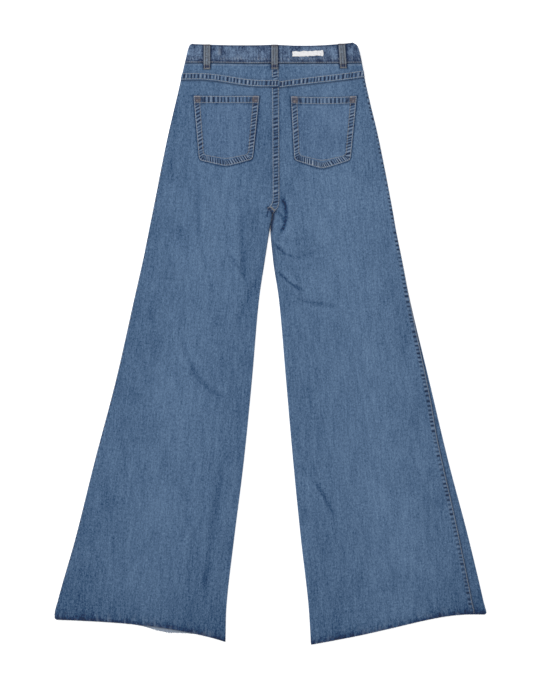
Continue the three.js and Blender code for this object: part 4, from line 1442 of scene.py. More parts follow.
def denim_group():
    """Twill with uneven yarns, its tone added to the face in even steps for the eye: deeper where
    the dye is kept in grooves and where shade is painted in, pale where it is rubbed."""
    group, given, ends = new_group(
        "Denim weave",
        [
            ("Grain", "Vector", (0, 0, 0)),
            ("Wear_and_shade", "Float", 0.0),
            ("Shade", "Float", 0.0),
            ("Contrast", "Float", 1.0),
            ("Face", "Color", GREY),
            ("Worn", "Color", GREY),
            ("Deep", "Color", GREY),
        ],
        [("Color", "Color"), ("Height", "Float")],
    )
    grain, wear_and_shade = given["Grain"], given["Wear_and_shade"]
    split = put(group, "ShaderNodeSeparateXYZ", inputs={0: grain})
    across = maths(group, "MULTIPLY", split.outputs[0], 2 * math.pi / TWILL_PITCH[0])
    up = maths(group, "MULTIPLY", split.outputs[1], 2 * math.pi / TWILL_PITCH[1])
    twill = maths(group, "SINE", maths(group, "ADD", across, up))
    tone = maths(group, "MULTIPLY", twill, 0.006)
    for size, detail, strength in DENIM_NOISES:
        part = noise(group, grain, size, detail)
        tone = maths(group, "MULTIPLY_ADD", part, strength, tone)
    tone = maths(group, "MULTIPLY_ADD", tone, given["Contrast"], given["Shade"])
    colour = vector_maths(group, "MULTIPLY_ADD", tone, YARN_TINT, given["Face"])
    colour = vector_maths(group, "MAXIMUM", colour, given["Deep"])
    # Below zero the wear mark draws the colour to Deep: dye kept in grooves, and painted shade in
    # ditches, at rolled edges and beside loops.
    colour = blend_colours(group, maths(group, "MULTIPLY", wear_and_shade, -1.0), colour, given["Deep"])
    colour = blend_colours(group, wear_and_shade, colour, given["Worn"])
    height = maths(group, "MULTIPLY_ADD", twill, 0.22, 0.5)
    height = maths(group, "MULTIPLY_ADD", part, 0.9, height)
    return closed_group(group, ends, Color=colour, Height=height)


def thread_group():
    """Plied thread: pale and dull lengths, with a twist across its run."""
    group, given, ends = new_group(
        "Sewing thread",
        [("Place", "Vector", (0, 0, 0)), ("Light", "Color", GREY), ("Dull", "Color", GREY)],
        [("Color", "Color"), ("Height", "Float")],
    )
    long_noise = noise(group, given["Place"], (0.006, 0.006), 2.0, 0.6)
    fine = noise(group, given["Place"], (0.0007, 0.0007), 1.0)
    share = maths(group, "MULTIPLY_ADD", long_noise, 1.7, 0.5)
    share = maths(group, "MULTIPLY_ADD", fine, 0.8, share)
    colour = blend_colours(group, share, given["Dull"], given["Light"])
    split = put(group, "ShaderNodeSeparateXYZ", inputs={0: given["Place"]})
    along_x = maths(group, "ADD", split.outputs[0], split.outputs[1])
    twist = maths(group, "SINE", maths(group, "MULTIPLY", along_x, 2 * math.pi / 0.0009))
    height = maths(group, "MULTIPLY_ADD", twist, 0.3, 0.5)
    return closed_group(group, ends, Color=colour, Height=height)


def tape_group():
    """Plain woven tape: fine ribs both ways and a faint cloudiness."""
    group, given, ends = new_group(
        "Tape weave",
        [("Grain", "Vector", (0, 0, 0)), ("Face", "Color", GREY), ("Shadow", "Color", GREY)],
        [("Color", "Color"), ("Height", "Float")],
    )
    split = put(group, "ShaderNodeSeparateXYZ", inputs={0: given["Grain"]})
    ribs = [
        maths(group, "SINE", maths(group, "MULTIPLY", split.outputs[k], 2 * math.pi / pitch))
        for k, pitch in ((0, 0.0011), (1, 0.0008))
    ]
    weave = maths(group, "MULTIPLY", *ribs)
    cloudy = noise(group, given["Grain"], (0.012, 0.004), 2.0)
    share = maths(group, "MULTIPLY_ADD", weave, 0.12, 0.3)
    share = maths(group, "MULTIPLY_ADD", cloudy, 0.9, share)
    colour = blend_colours(group, share, given["Face"], given["Shadow"])
    height = maths(group, "MULTIPLY_ADD", weave, 0.5, 0.5)
    return closed_group(group, ends, Color=colour, Height=height)


def brass_group():
    """Worn brass: bright and dark in uneven stains, rougher where it is dark."""
    group, given, ends = new_group(
        "Worn brass",
        [("Place", "Vector", (0, 0, 0)), ("Bright", "Color", GREY), ("Dark", "Color", GREY)],
        [("Color", "Color"), ("Roughness", "Float")],
    )
    stain = noise(group, given["Place"], (0.003, 0.003), 3.0, 0.65)
    share = maths(group, "MULTIPLY_ADD", stain, 1.6, 0.4)
    colour = blend_colours(group, share, given["Bright"], given["Dark"])
    roughness = maths(group, "MULTIPLY_ADD", stain, 0.4, 0.38)
    return closed_group(group, ends, Color=colour, Roughness=roughness)


def group_of(name, build):
    return bpy.data.node_groups.get(name) or build()


def new_material(name, group, sources, colours, roughness, bump_depth, sheen=0.0, metallic=0.0):
    """Material whose Principled shader takes its colour and bump from a group."""
    known = bpy.data.materials.get(name)
    if known:
        return known
    material = bpy.data.materials.new(name)
    material.use_nodes = True
    tree = material.node_tree
    shader = tree.nodes["Principled BSDF"]
    effect = put(tree, "ShaderNodeGroup", {"node_tree": group})
    for socket, source in sources.items():
        tree.links.new(source(tree), effect.inputs[socket])
    for socket, value in colours.items():
        effect.inputs[socket].default_value = value
    tree.links.new(effect.outputs["Color"], shader.inputs["Base Color"])
    shader.inputs["Roughness"].default_value = roughness
    shader.inputs["Metallic"].default_value = metallic
    shader.inputs["Specular IOR Level"].default_value = 0.5 if metallic else 0.15
    shader.inputs["Sheen Weight"].default_value = sheen
    shader.inputs["Sheen Roughness"].default_value = 0.6
    if "Roughness" in effect.outputs:
        tree.links.new(effect.outputs["Roughness"], shader.inputs["Roughness"])
    if "Height" in effect.outputs:
        raised = put(
            tree,
            "ShaderNodeBump",
            inputs={"Height": effect.outputs["Height"], "Distance": bump_depth, "Strength": 1.0},
        )
        tree.links.new(raised.outputs[0], shader.inputs["Normal"])
    return material


def uv_source(tree):
    return put(tree, "ShaderNodeUVMap", {"uv_map": "grain"}).outputs["UV"]


def object_source(tree):
    return put(tree, "ShaderNodeTexCoord").outputs["Object"]


def mark_source(mark):
    def source(tree):
        return put(tree, "ShaderNodeAttribute", {"attribute_name": mark}).outputs["Fac"]

    return source


def solid(colour):
    return (*colour, 1.0)


def denim_material(name, face, looks, contrast=1.0):
    """Denim of one dye depth, rubbed pale and kept deep."""
    return new_material(
        name,
        group_of("Denim weave", denim_group),
        {"Grain": uv_source, "Wear_and_shade": mark_source("wear_and_shade"), "Shade": mark_source("shade")},
        {
            "Contrast": contrast,
            "Face": solid(face),
            "Worn": solid(looks.worn),
            "Deep": solid(looks.deep),
        },
        0.9,
        0.0003,
    )


def denim_materials(kind, looks):
    """Face, inside and cut edge of one kind of denim."""
    faces = {"leg": looks.leg, "band": looks.band, "pocket": looks.pocket, "loop": looks.loop}
    return [
        denim_material(f"denim {kind}", faces[kind], looks, 1.5 if kind == "band" else 1.0),
        denim_material("denim inside", looks.inside, looks, 0.7),
        denim_material("denim cut edge", looks.edge, looks, 1.6),
    ]


def thread_material(name, light, dull):
    return new_material(
        name,
        group_of("Sewing thread", thread_group),
        {"Place": object_source},
        {"Light": solid(light), "Dull": solid(dull)},
        0.7,
        0.0001,
        sheen=0.1,
    )


# Settings.


def number_setting(name, description, default, **kind):
    return bpy.props.FloatProperty(name=name, description=description, default=default, **kind)


def length_setting(name, description, default):
    return number_setting(name, description, default, subtype="DISTANCE", unit="LENGTH")


def colour_setting(name, description, default):
    return bpy.props.FloatVectorProperty(
        name=name, description=description, default=default, subtype="COLOR", size=3, min=0, max=1
    )


class JeansSizes(bpy.types.PropertyGroup):
    """Sizes of the sewing and of the frayed hems."""

    stitch_length: length_setting("Stitch", "Length of one stitch of topstitching", 0.0029)
    stitch_spacing: number_setting("Spacing", "Pitch of the stitches over their length", 1.42)
    thread_width: length_setting("Thread", "Width of the topstitching thread", 0.0011)
    fray_length: length_setting("Fray", "Length of the longest common frayed thread", 0.0045)
    fray_pitch: length_setting("Fray pitch", "Distance between frayed threads", 0.0011)


class JeansLooks(bpy.types.PropertyGroup):
    """Colours of the cloth, threads, strip and button."""

    leg: colour_setting("Legs", "Face of the panels", (0.076, 0.138, 0.243))
    band: colour_setting("Band", "Face of the waistband", (0.071, 0.112, 0.194))
    pocket: colour_setting("Pockets", "Face of the pockets", (0.073, 0.132, 0.236))
    loop: colour_setting("Loops", "Face of the belt loops", (0.112, 0.134, 0.17))
    worn: colour_setting("Rubbed", "Denim where it is rubbed pale", (0.34, 0.39, 0.46))
    # Deep is also the colour of the painted shade in ditches, at rolled edges, beside loops and
    # along the slit.
    deep: colour_setting("Deep", "Denim where the dye is kept", (0.016, 0.03, 0.07))
    inside: colour_setting("Inside", "Back of the cloth", (0.25, 0.3, 0.38))
    edge: colour_setting("Cut edge", "Raw edge of the cloth", (0.06, 0.09, 0.15))
    thread: colour_setting("Thread", "Topstitching", (0.45, 0.475, 0.51))
    thread_fine: colour_setting("Fine thread", "Rows of the band, loops, outseams", (0.3, 0.3, 0.3))
    thread_dull: colour_setting("Dull thread", "Topstitching where it is dull", (0.2, 0.22, 0.255))
    tack: colour_setting("Tacks", "Bar tacks", (0.155, 0.13, 0.14))
    tack_pale: colour_setting("Pale tacks", "Rubbed bars of the tacks", (0.34, 0.3, 0.3))
    tack_dull: colour_setting("Dull tacks", "Bar tacks where they are dull", (0.055, 0.055, 0.08))
    fray: colour_setting("Frayed", "Undyed threads of the raw hems", (0.55, 0.56, 0.58))
    fray_blue: colour_setting("Frayed blue", "Dyed threads of the raw hems", (0.12, 0.17, 0.27))
    strip: colour_setting("Strip", "Bare woven strip", (0.86, 0.86, 0.87))
    strip_shadow: colour_setting("Strip shadow", "Between its ribs", (0.6, 0.6, 0.63))
    brass: colour_setting("Brass", "Button where it is bright", (0.42, 0.31, 0.16))
    brass_dark: colour_setting("Dark brass", "Button in its hollows", (0.12, 0.09, 0.05))


class JeansStage(bpy.types.PropertyGroup):
    """Camera, lights and floor."""

    camera_height: length_setting("Camera", "Height of the camera", 3.27)
    lens: number_setting("Lens", "Focal length in mm", 90.0)
    key_power: number_setting("Key", "Main light", 52.0)
    sky: number_setting("Sky", "Even light all round", 0.62)
    floor: colour_setting("Floor", "Plain pale floor", (0.93, 0.93, 0.93))
    floor_glow: number_setting("Floor glow", "Light of its own, as of a lit table", 0.45)


# Operators.


class JEANS_OT_panels(bpy.types.Operator):
    """Back and front panels of the legs"""

    bl_idname = "jeans.panels"
    bl_label = "Leg panels"

    def execute(self, context):
        materials = denim_materials("leg", context.scene.jeans_looks)
        for side in SIDES:
            top = level(side, "band seam") - BAND_SEAM_GAP
            scoop_end = level(side, "band seam") - SCOOP_DEPTH
            hem_levels = panel_levels(side, scoop_end, 5.0, 4.5)
            levels = np.concatenate([np.linspace(top, scoop_end, 28)[:-1], hem_levels])
            front = f"front_{side}"
            s = front_lengths(side, levels, 46)
            patch(front, side, levels, s, Body, materials, front_marks(side))
            levels = panel_levels(side, level(side, "yoke seam") - SEAM_GAP, 1.8, 1.9)
            s = back_lengths(side, levels, Body, 108)
            back = f"back_{side}"
            patch(back, side, levels, s, Body, materials, back_marks(side))
        return {"FINISHED"}


class JEANS_OT_yoke(bpy.types.Operator):
    """Two halves of the back yoke, felled over the panels"""

    bl_idname = "jeans.yoke"
    bl_label = "Yoke"

    def execute(self, context):
        materials = denim_materials("leg", context.scene.jeans_looks)
        for side in SIDES:
            top = level(side, "band seam") - BAND_SEAM_GAP
            levels = np.linspace(top, level(side, "yoke seam"), 42)
            s = back_lengths(side, levels, Body, 130)
            name = f"yoke_{side}"
            patch(name, side, levels, s, Body, materials, yoke_marks(side))
        return {"FINISHED"}


class JEANS_OT_waistband(bpy.types.Operator):
    """Doubled waistband, from the closure round each side to the centre back"""

    bl_idname = "jeans.waistband"
    bl_label = "Waistband"

    def execute(self, context):
        materials = denim_materials("band", context.scene.jeans_looks)
        for side in SIDES:
            levels = np.linspace(level(side, "band top"), level(side, "band seam"), 42)
            front = section(side, levels, "front", Band)
            back = section(side, levels, "back", Band)
            fold = front["quarter"][:, None] * np.linspace(-1, 1, 9)
            under = mix(-front["length"][:, None], fold[:, :1], np.linspace(0, 1, 71)[:-1])
            over = mix(fold[:, -1:], back["length"][:, None], np.linspace(0, 1, 160)[1:])
            s = np.concatenate([under, fold, over], 1)
            name = f"waistband_{side}"
            marks = band_marks(side)
            patch(name, side, levels, s, Band, materials, marks)
        return {"FINISHED"}


class JEANS_OT_pockets(bpy.types.Operator):
    """Patch pockets on the back and facings of the front pockets"""

    bl_idname = "jeans.pockets"
    bl_label = "Pockets"

    def execute(self, context):
        looks = context.scene.jeans_looks
        for side in SIDES:
            v, u = np.meshgrid(np.linspace(0, 1, 130), np.linspace(0, 1, 120), indexing="ij")
            materials = denim_materials("pocket", looks)
            surface = pocket_surface(side, u, v)
            laid_piece(f"pocket_{side}", surface, DENIM, materials)
            scoop_end = level(side, "band seam") - SCOOP_DEPTH
            top = level(side, "band seam") - BAND_SEAM_GAP
            levels = np.linspace(top, scoop_end + FACING_END, 26)
            start = scoop(side, levels) + scoop_gap(side, levels)
            end = outseam(side, levels) - SEAM_GAP / 2
            s = mix(start[:, None], end[:, None], np.linspace(0, 1, 24))
            name, front = f"pocket_facing_{side}", f"front_{side}"
            materials = denim_materials("leg", looks)
            patch(name, side, levels, s, Body, materials, plain_marks, FACING_RECESS)
        return {"FINISHED"}


def plain_marks(outer_y, s, middle):
    """Marks of cloth that is hardly worn."""
    return np.zeros(s.shape), np.full(s.shape, -0.2), np.full(s.shape, -0.3)


class JEANS_OT_belt_loops(bpy.types.Operator):
    """Belt loops over the back and under the front of the band"""

    bl_idname = "jeans.belt_loops"
    bl_label = "Belt loops"

    def execute(self, context):
        materials = denim_materials("loop", context.scene.jeans_looks)
        rows = np.linspace(0, 1, 56)
        offsets = np.linspace(-LOOP_WIDTH / 2, LOOP_WIDTH / 2, 19)
        surfaces = {f"back_{name}": loop_surface(name, rows, offsets) for name in BACK_LOOPS}
        for side in FRONT_LOOPS:
            surfaces[f"front_{side}"] = front_loop_surface(side, rows, offsets)
        for place, surface in surfaces.items():
            thickness = -LOOP if place.startswith("front") else LOOP
            laid_piece(f"belt_loop_{place}", surface, thickness, materials)
        return {"FINISHED"}


class JEANS_OT_label(bpy.types.Operator):
    """Bare woven strip on the back of the band"""

    bl_idname = "jeans.label"
    bl_label = "Bare strip"

    def execute(self, context):
        looks = context.scene.jeans_looks
        width, height = LABEL_SIZE
        v, u = np.meshgrid(
            np.linspace(height / 2, -height / 2, 15),
            np.linspace(-width / 2, width / 2, 70),
            indexing="ij",
        )
        tape = new_material(
            "woven tape",
            group_of("Tape weave", tape_group),
            {"Grain": uv_source},
            {"Face": solid(looks.strip), "Shadow": solid(looks.strip_shadow)},
            0.75,
            0.00012,
            sheen=0.1,
        )
        tall = 0.98 + 0.12 * u / width + 0.1 * wander(145, u / 3.1) + 0.12 * wander(146, u / 7)
        ragged = tall * v + 0.7 * wander(149, u / 6) + 0.4 * wander(150, u / 2.7)
        x, y = label_place(u + 0.9 * wander(147, v / 2.2) * (np.abs(u) / width * 2) ** 6, ragged)
        edge = np.minimum(width / 2 - np.abs(u), height / 2 - np.abs(v))
        crinkles = 0.7 * cloud(141, u / 3.2 + v / 9, v / 4) + 0.5 * cloud(142, u / 8, v / 5)
        raised = -0.4 * bump(edge / 0.7) + crinkles
        plain = np.zeros(x.shape)
        surface = (x, y, back_skin(x, y) + LAID_GAP, raised, plain, plain)
        laid_piece("label", surface, LABEL, [tape] * 3)
        return {"FINISHED"}


# Radius and height round the button, from under its shank to the middle of its face.
BUTTON_PROFILE = (
    (0.02, 0.35), (3.2, 0.3), (3.7, 0.55), (4.3, 0.6), (4.8, 0.25), (6.6, 0.1), (7.4, 0.0),
    (8.1, 0.1),
    (BUTTON_RADIUS, 0.6),
    (BUTTON_RADIUS, 1.3),
    (8.1, 1.75), (7.2, 1.95), (5.4, 2.05), (4.6, 2.2), (4.25, 2.5),
    (4.25, BUTTON_HEIGHT),
    (0.02, BUTTON_HEIGHT),
)
BUTTON_SIDES = 48


class JEANS_OT_button(bpy.types.Operator):
    """Shank button of the closure"""

    bl_idname = "jeans.button"
    bl_label = "Button"

    def execute(self, context):
        looks = context.scene.jeans_looks
        profile = np.array(BUTTON_PROFILE)
        turn = np.linspace(0, 2 * np.pi, BUTTON_SIDES, endpoint=False)
        radius, height = profile[:, :1], profile[:, 1:]
        y = mix(level("left", "band top", "front"), level("left", "band seam", "front"), 0.5)
        x, y = BUTTON_X + radius * np.cos(turn), y + radius * np.sin(turn)
        rings = np.stack([x, y, height + 0 * turn], -1)
        points = rings.reshape(-1, 3)
        quads = outward(points, [tube_faces(len(profile), BUTTON_SIDES)])
        metal = new_material(
            "worn brass",
            group_of("Worn brass", brass_group),
            {"Place": object_source},
            {"Bright": solid(looks.brass), "Dark": solid(looks.brass_dark)},
            0.38,
            0.0,
            metallic=1.0,
        )
        made = new_piece("shank_button", points, quads, [metal], smooth_to=35)
        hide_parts("button")
        return {"FINISHED"}


# Pitch of the stitches over their length, where they are closer together than elsewhere.
CLOSE_SPACING = 1.12
FINE_SPACING = 1.1
BAND_SPACING = 1.15


class JEANS_OT_topstitching(bpy.types.Operator):
    """Topstitching of the seams, pockets, loops and front"""

    bl_idname = "jeans.topstitching"
    bl_label = "Topstitching"

    def execute(self, context):
        sizes, looks = context.scene.jeans_sizes, context.scene.jeans_looks
        plain = thread_material("topstitching", looks.thread, looks.thread_dull)
        fine = thread_material("fine topstitching", looks.thread_fine, looks.thread_dull)
        pockets = list(pocket_rows())
        for name, rows, material, spacing in (
            ("stitching_yoke", yoke_rows(), plain, CLOSE_SPACING),
            ("stitching_centre_back", centre_rows(), plain, CLOSE_SPACING),
            ("stitching_outseams", outseam_rows(), fine, FINE_SPACING),
            ("stitching_band", band_rows(), fine, BAND_SPACING),
            ("stitching_pockets", pockets[::2], plain, CLOSE_SPACING),
            ("stitching_pockets_inner", pockets[1::2], fine, CLOSE_SPACING),
            ("stitching_loops", loop_rows(), fine, FINE_SPACING),
            ("stitching_front", front_rows(), plain, None),
        ):
            sewn_piece(name, rows, material, sizes, spacing)
        return {"FINISHED"}


def yoke_rows():
    """Both rows above each half's yoke seam."""
    for side in SIDES:
        cut = section(side, np.array([level(side, "yoke seam")]), "back", Body)
        end = cut["length"][0] - (1.0 if side == "left" else 0.3)
        s = np.arange(-3, end, 1.0)
        for above in YOKE_ROWS:
            levels = level_above(side, "yoke seam", s, Body, above)
            yield on_face(side, Body, yoke_marks(side), levels, s)


def centre_rows():
    """Both rows beside the centre back seam, over the left yoke and down to the crotch."""
    yoke_top = level("left", "yoke seam") + (YOKE_ROWS[1] + 2.5) / 1.15
    for top, bottom, marks in (
        (level("left", "band seam") - 1.5, yoke_top, yoke_marks("left")),
        (level("left", "yoke seam") - 0.8, CROTCH, back_marks("left")),
    ):
        levels = np.arange(top, bottom, -0.8)
        cut = section("left", levels, "back", Body)
        y = inner_height("left", "back", levels)
        for away, end in zip(CENTRE_ROWS, CENTRE_ROW_ENDS):
            s = cut["length"] - away * spread(y) * (1 - 0.9 * cut["curl"] * (away < 5))
            kept = y > end
            yield on_face("left", Body, marks, levels[kept], s[kept])


def outseam_rows():
    """The row beside each outseam."""
    for side in SIDES:
        levels = np.arange(level(side, "yoke seam") - 1, level(side, "hem") + 1.5, -1.2)
        s = outseam(side, levels) + OUTSEAM_ROW
        yield on_face(side, Body, back_marks(side), levels, s)


def band_rows():
    """The row above the band's lower edge, all round."""
    for side in SIDES:
        base = np.array([level(side, "band seam")])
        front = section(side, base, "front", Band)["length"][0]
        back = section(side, base, "back", Band)["length"][0]
        s = np.arange(-front + 2, back - 1, 1.0)
        levels = level_above(side, "band seam", s, Band, BAND_ROW)
        yield on_face(side, Band, band_marks(side), levels, s)


def pocket_rows():
    """Two rows round the sides and bottom of each pocket and two across its hem."""
    for side in SIDES:
        length, width = pocket_length(side), pocket_width(side)
        for inset, turn in zip(POCKET_ROWS, POCKET_ROW_TURNS):
            angle = np.linspace(0, np.pi / 2, 12)
            bottom = length - inset
            u = np.concatenate([[0], turn * (1 - np.cos(angle)), [width / 2 - inset]]) + inset
            v = np.concatenate([[0.5], bottom - turn * (1 - np.sin(angle)), [bottom]])
            run = np.concatenate([[0], np.cumsum(np.hypot(np.diff(u), np.diff(v)))])
            even = np.arange(0, run[-1], 0.8)
            u, v = np.interp(even, run, u) / width, np.interp(even, run, v) / length
            u, v = np.concatenate([u, 1 - u[::-1]]), np.concatenate([v, v[::-1]])
            yield laid_line(pocket_surface, DENIM, side, u, v)
        for below in POCKET_HEM_ROWS:
            u = np.linspace(0.012, 0.988, 160)
            yield laid_line(pocket_surface, DENIM, side, u, 0 * u + below / length)


def loop_rows():
    """A row beside each long edge of the loops over the back."""
    for name in BACK_LOOPS:
        offsets = np.array([-LOOP_WIDTH / 2 + LOOP_ROW, LOOP_WIDTH / 2 - LOOP_ROW])
        x, y, height, raised = loop_surface(name, np.linspace(0.02, 0.97, 60), offsets)[:4]
        points = np.stack([x, y, height + LOOP + raised], -1)
        normal = np.broadcast_to(UP, points[:, 0].shape)
        yield from ((points[:, k], normal) for k in (0, 1))


# Rows of the front: insets from its pockets' openings and from the closure, where the closure's
# end, and from where and over what height they bend to it.
SCOOP_INSETS = (1.6, 8.0)
FLY_INSETS = (34.0, 40.0)
FLY_END = 392
FLY_BEND = (430, 38)


def front_rows():
    """Rows round the openings of the front pockets and the curved row beside the closure."""
    for side in SIDES:
        top = level(side, "band seam") - 2
        levels = np.arange(top, level(side, "band seam") - SCOOP_DEPTH + 3, -0.8)
        for inset in SCOOP_INSETS:
            s = scoop(side, levels) - scoop_gap(side, levels) - inset
            yield on_face(side, Body, front_marks(side), levels, s)
    levels = np.arange(level("left", "band seam") - 2, FLY_END, -0.8)
    cut = section("left", levels, "front", Body)
    bend = smooth((FLY_BEND[0] - levels) / FLY_BEND[1]) ** 1.3
    for inset in FLY_INSETS:
        s = -(cut["length"] - mix(inset, 2.0, bend))
        yield on_face("left", Body, front_marks("left"), levels, s)


# Close stitches of a tack: pitch, slant and width of the thread.
SATIN_PITCH = 0.75
SATIN_SLANT = 0.35
TACK_THREAD = 0.8


def satin_bar(start, end, across, lift):
    """Close stitches side by side from start to end, each across mm long, on the back."""
    start, end = np.array(start, float), np.array(end, float)
    run = np.linalg.norm(end - start)
    count = max(2, int(run / SATIN_PITCH))
    ahead = (end - start) / run
    out = np.array([-ahead[1], ahead[0]])
    share = (np.arange(count) + 0.5) / count
    middle = mix(start, end, share[:, None])
    t = STITCH_SHARES - 0.5
    places = middle[:, None] + (t * across)[None, :, None] * (out + SATIN_SLANT * ahead)
    return places, np.broadcast_to(lift, places.shape[:2])


def tack_piece(name, bars, material):
    """One object of bars, each (places, heights) of its threads."""
    arch = np.sin(np.pi * STITCH_SHARES)
    radius = TACK_THREAD / 2
    centres = []
    for places, heights in bars:
        z = heights + radius * (0.9 * arch - 0.3)
        centres.append(np.concatenate([places, z[..., None]], -1))
    centres = np.concatenate(centres)
    normals = np.broadcast_to(UP, centres.shape)
    points, quads = threads(centres, normals, radius * (0.5 + 0.5 * arch**0.5))
    return new_piece(name, points, quads, [material])


def loop_top(name, row, offset):
    """Point on top of a loop, a share down its length and an offset from its middle."""
    x, y, height, raised = loop_surface(name, np.array([row]), np.array([offset]))[:4]
    return x[0, 0], y[0, 0], height[0, 0] + LOOP + max(raised[0, 0], -0.1)


# Bars of tacks: how wide they are, shares down a loop of its two, and the one at the crotch.
LOOP_BAR_WIDTH = 2.0
LOOP_TOP_BAR, LOOP_END_BAR = 0.04, 0.955
POCKET_BAR_WIDTH = 2.4
CROTCH_BAR_WIDTH = 3.2
CROTCH_BAR = ((1.4, 260.4), (8.8, 253.2))
CROTCH_BAR_SEAT = (5.0, 256.8)

# Bars of a pocket's corner tack: below the top, from and to mm off the side, and which thread.
POCKET_TACKS = (
    (1.8, 2.6, 12.5, "pale"),
    (4.6, 2.6, 14.5, "brown"),
    (7.4, 2.6, 14.0, "brown"),
    (9.8, 2.6, 4.6, "brown"),
    (9.8, 4.8, 8.6, "pale"),
    (9.8, 8.8, 14.0, "brown"),
    (12.2, 2.6, 13.0, "brown"),
)


class JEANS_OT_bar_tacks(bpy.types.Operator):
    """Bar tacks of the loops and of the pockets' top corners"""

    bl_idname = "jeans.bar_tacks"
    bl_label = "Bar tacks"

    def execute(self, context):
        looks = context.scene.jeans_looks
        brown = thread_material("bar tacks", looks.tack, looks.tack_dull)
        pale = thread_material("pale tacks", looks.tack_pale, looks.tack)
        dark_bars, pale_bars, loop_bars = [], [], []
        reach = LOOP_WIDTH / 2 - TACK_THREAD
        for name in BACK_LOOPS:
            for row, bars in ((LOOP_END_BAR, loop_bars), (LOOP_TOP_BAR, dark_bars)):
                left, right = (loop_top(name, row, sign * reach) for sign in (-1, 1))
                lift = (left[2] + right[2]) / 2
                bars.append(satin_bar(left[:2], right[:2], LOOP_BAR_WIDTH, lift))
        for side in SIDES:
            length, width = pocket_length(side), pocket_width(side)
            for inner in (False, True):
                for below, near, far, thread in POCKET_TACKS:
                    bars = pale_bars if thread == "pale" else dark_bars
                    u = np.array([near, far]) / width
                    u = 1 - u if inner else u
                    x, y, height, raised = pocket_surface(side, u, 0 * u + below / length)[:4]
                    start, end = zip(x, y)
                    lift = (height + DENIM + raised).max()
                    bars.append(satin_bar(start, end, POCKET_BAR_WIDTH, lift))
        tack_piece("tacks_brown", dark_bars, brown)
        seat_x, seat_y = CROTCH_BAR_SEAT
        lift = back_skin([seat_x], [seat_y])[0] + 0.1
        crotch_bar = satin_bar(*CROTCH_BAR, CROTCH_BAR_WIDTH, lift)
        grey = thread_material("grey tacks", looks.thread_fine, looks.tack_dull)
        tack_piece("tacks_grey", [crotch_bar, *loop_bars], grey)
        tack_piece("tacks_pale", pale_bars, pale)
        return {"FINISHED"}


# Loose threads: radius, how deep in the cloth they start, and how low they may lie.
STRAND_RADIUS = 0.2
STRAND_ROOT = 1.2
LOWEST_STRAND = 0.22


class JEANS_OT_frayed_hems(bpy.types.Operator):
    """Loose threads along the raw hems"""

    bl_idname = "jeans.frayed_hems"
    bl_label = "Frayed hems"

    def execute(self, context):
        sizes, looks = context.scene.jeans_sizes, context.scene.jeans_looks
        undyed = thread_material("undyed yarn", looks.fray, looks.fray_blue)
        dyed = thread_material("dyed yarn", looks.fray_blue, looks.deep)
        hems = [(side, layer) for side in SIDES for layer in ("back", "front")]
        for name, material, share, seed in (
            ("frayed_undyed", undyed, 0.55, 7),
            ("frayed_dyed", dyed, 0.45, 8),
        ):
            rng = np.random.default_rng(seed)
            lines = np.concatenate([strands(*hem, share, sizes, rng) for hem in hems])
            up = np.broadcast_to(UP, lines.shape)
            radii = STRAND_RADIUS * np.linspace(1, 0.55, lines.shape[1])
            points, quads = threads(lines, up, radii, 4, 1.0)
            new_piece(name, points, quads, [material])
        return {"FINISHED"}


def strands(side, layer, share, sizes, rng):
    """Middle lines of one hem's loose threads: out of the cut edge, sagging and curling."""
    hem = np.array([level(side, "hem")])
    cut = section(side, hem, layer, Body)
    sign = 1 if layer == "back" else -1
    seam = outseam(side, hem)[0]
    length = cut["length"][0]
    low, high = (seam, length) if layer == "back" else (-length, seam)
    pitch = sizes.fray_pitch / MM
    count = int((high - low) / pitch * share)
    s = np.sort(rng.uniform(low + 1, high - 1, count))
    outer_y = np.full(count, hem[0])
    middle = tube(side, outer_y, s, Body)
    normal = facing_up(side, outer_y, s, Body)
    base = middle + normal * rng.uniform(-0.35, 0.35, count)[:, None]
    down = tube(side, outer_y - 1, s, Body) - middle
    down /= np.linalg.norm(down, axis=-1, keepdims=True)
    across = np.cross(down, normal)
    longest = sizes.fray_length / MM
    shown = side == "left" and layer == "front"
    in_dip = bump((base[:, 0] - HEM_DIP_X) / (1.4 * HEM_DIP_HALF_WIDTH)) if shown else 0
    reach = longest * (rng.uniform(0.25, 1, count) ** 1.5) * (0.2 + 0.7 * in_dip)
    lean = rng.normal(0, 0.45, count)
    curl = rng.normal(0, 0.5, count)
    t = np.linspace(0, 1, 5)[None, :, None]
    run = reach[:, None, None] * t
    root = base[:, None] - down[:, None] * STRAND_ROOT
    line = root + down[:, None] * (run + STRAND_ROOT * t)
    line = line + across[:, None] * (lean[:, None, None] * run + curl[:, None, None] * run * t)
    line[..., 2] -= 0.12 * (run * t)[..., 0] * sign
    line[..., 2] = np.maximum(line[..., 2], LOWEST_STRAND)
    return line


# The floor, and how close above it cloth dims its glow, in metres.
FLOOR_REACH = 8.0
FLOOR_HEIGHT = -0.0004
GLOW_REACH = 0.012


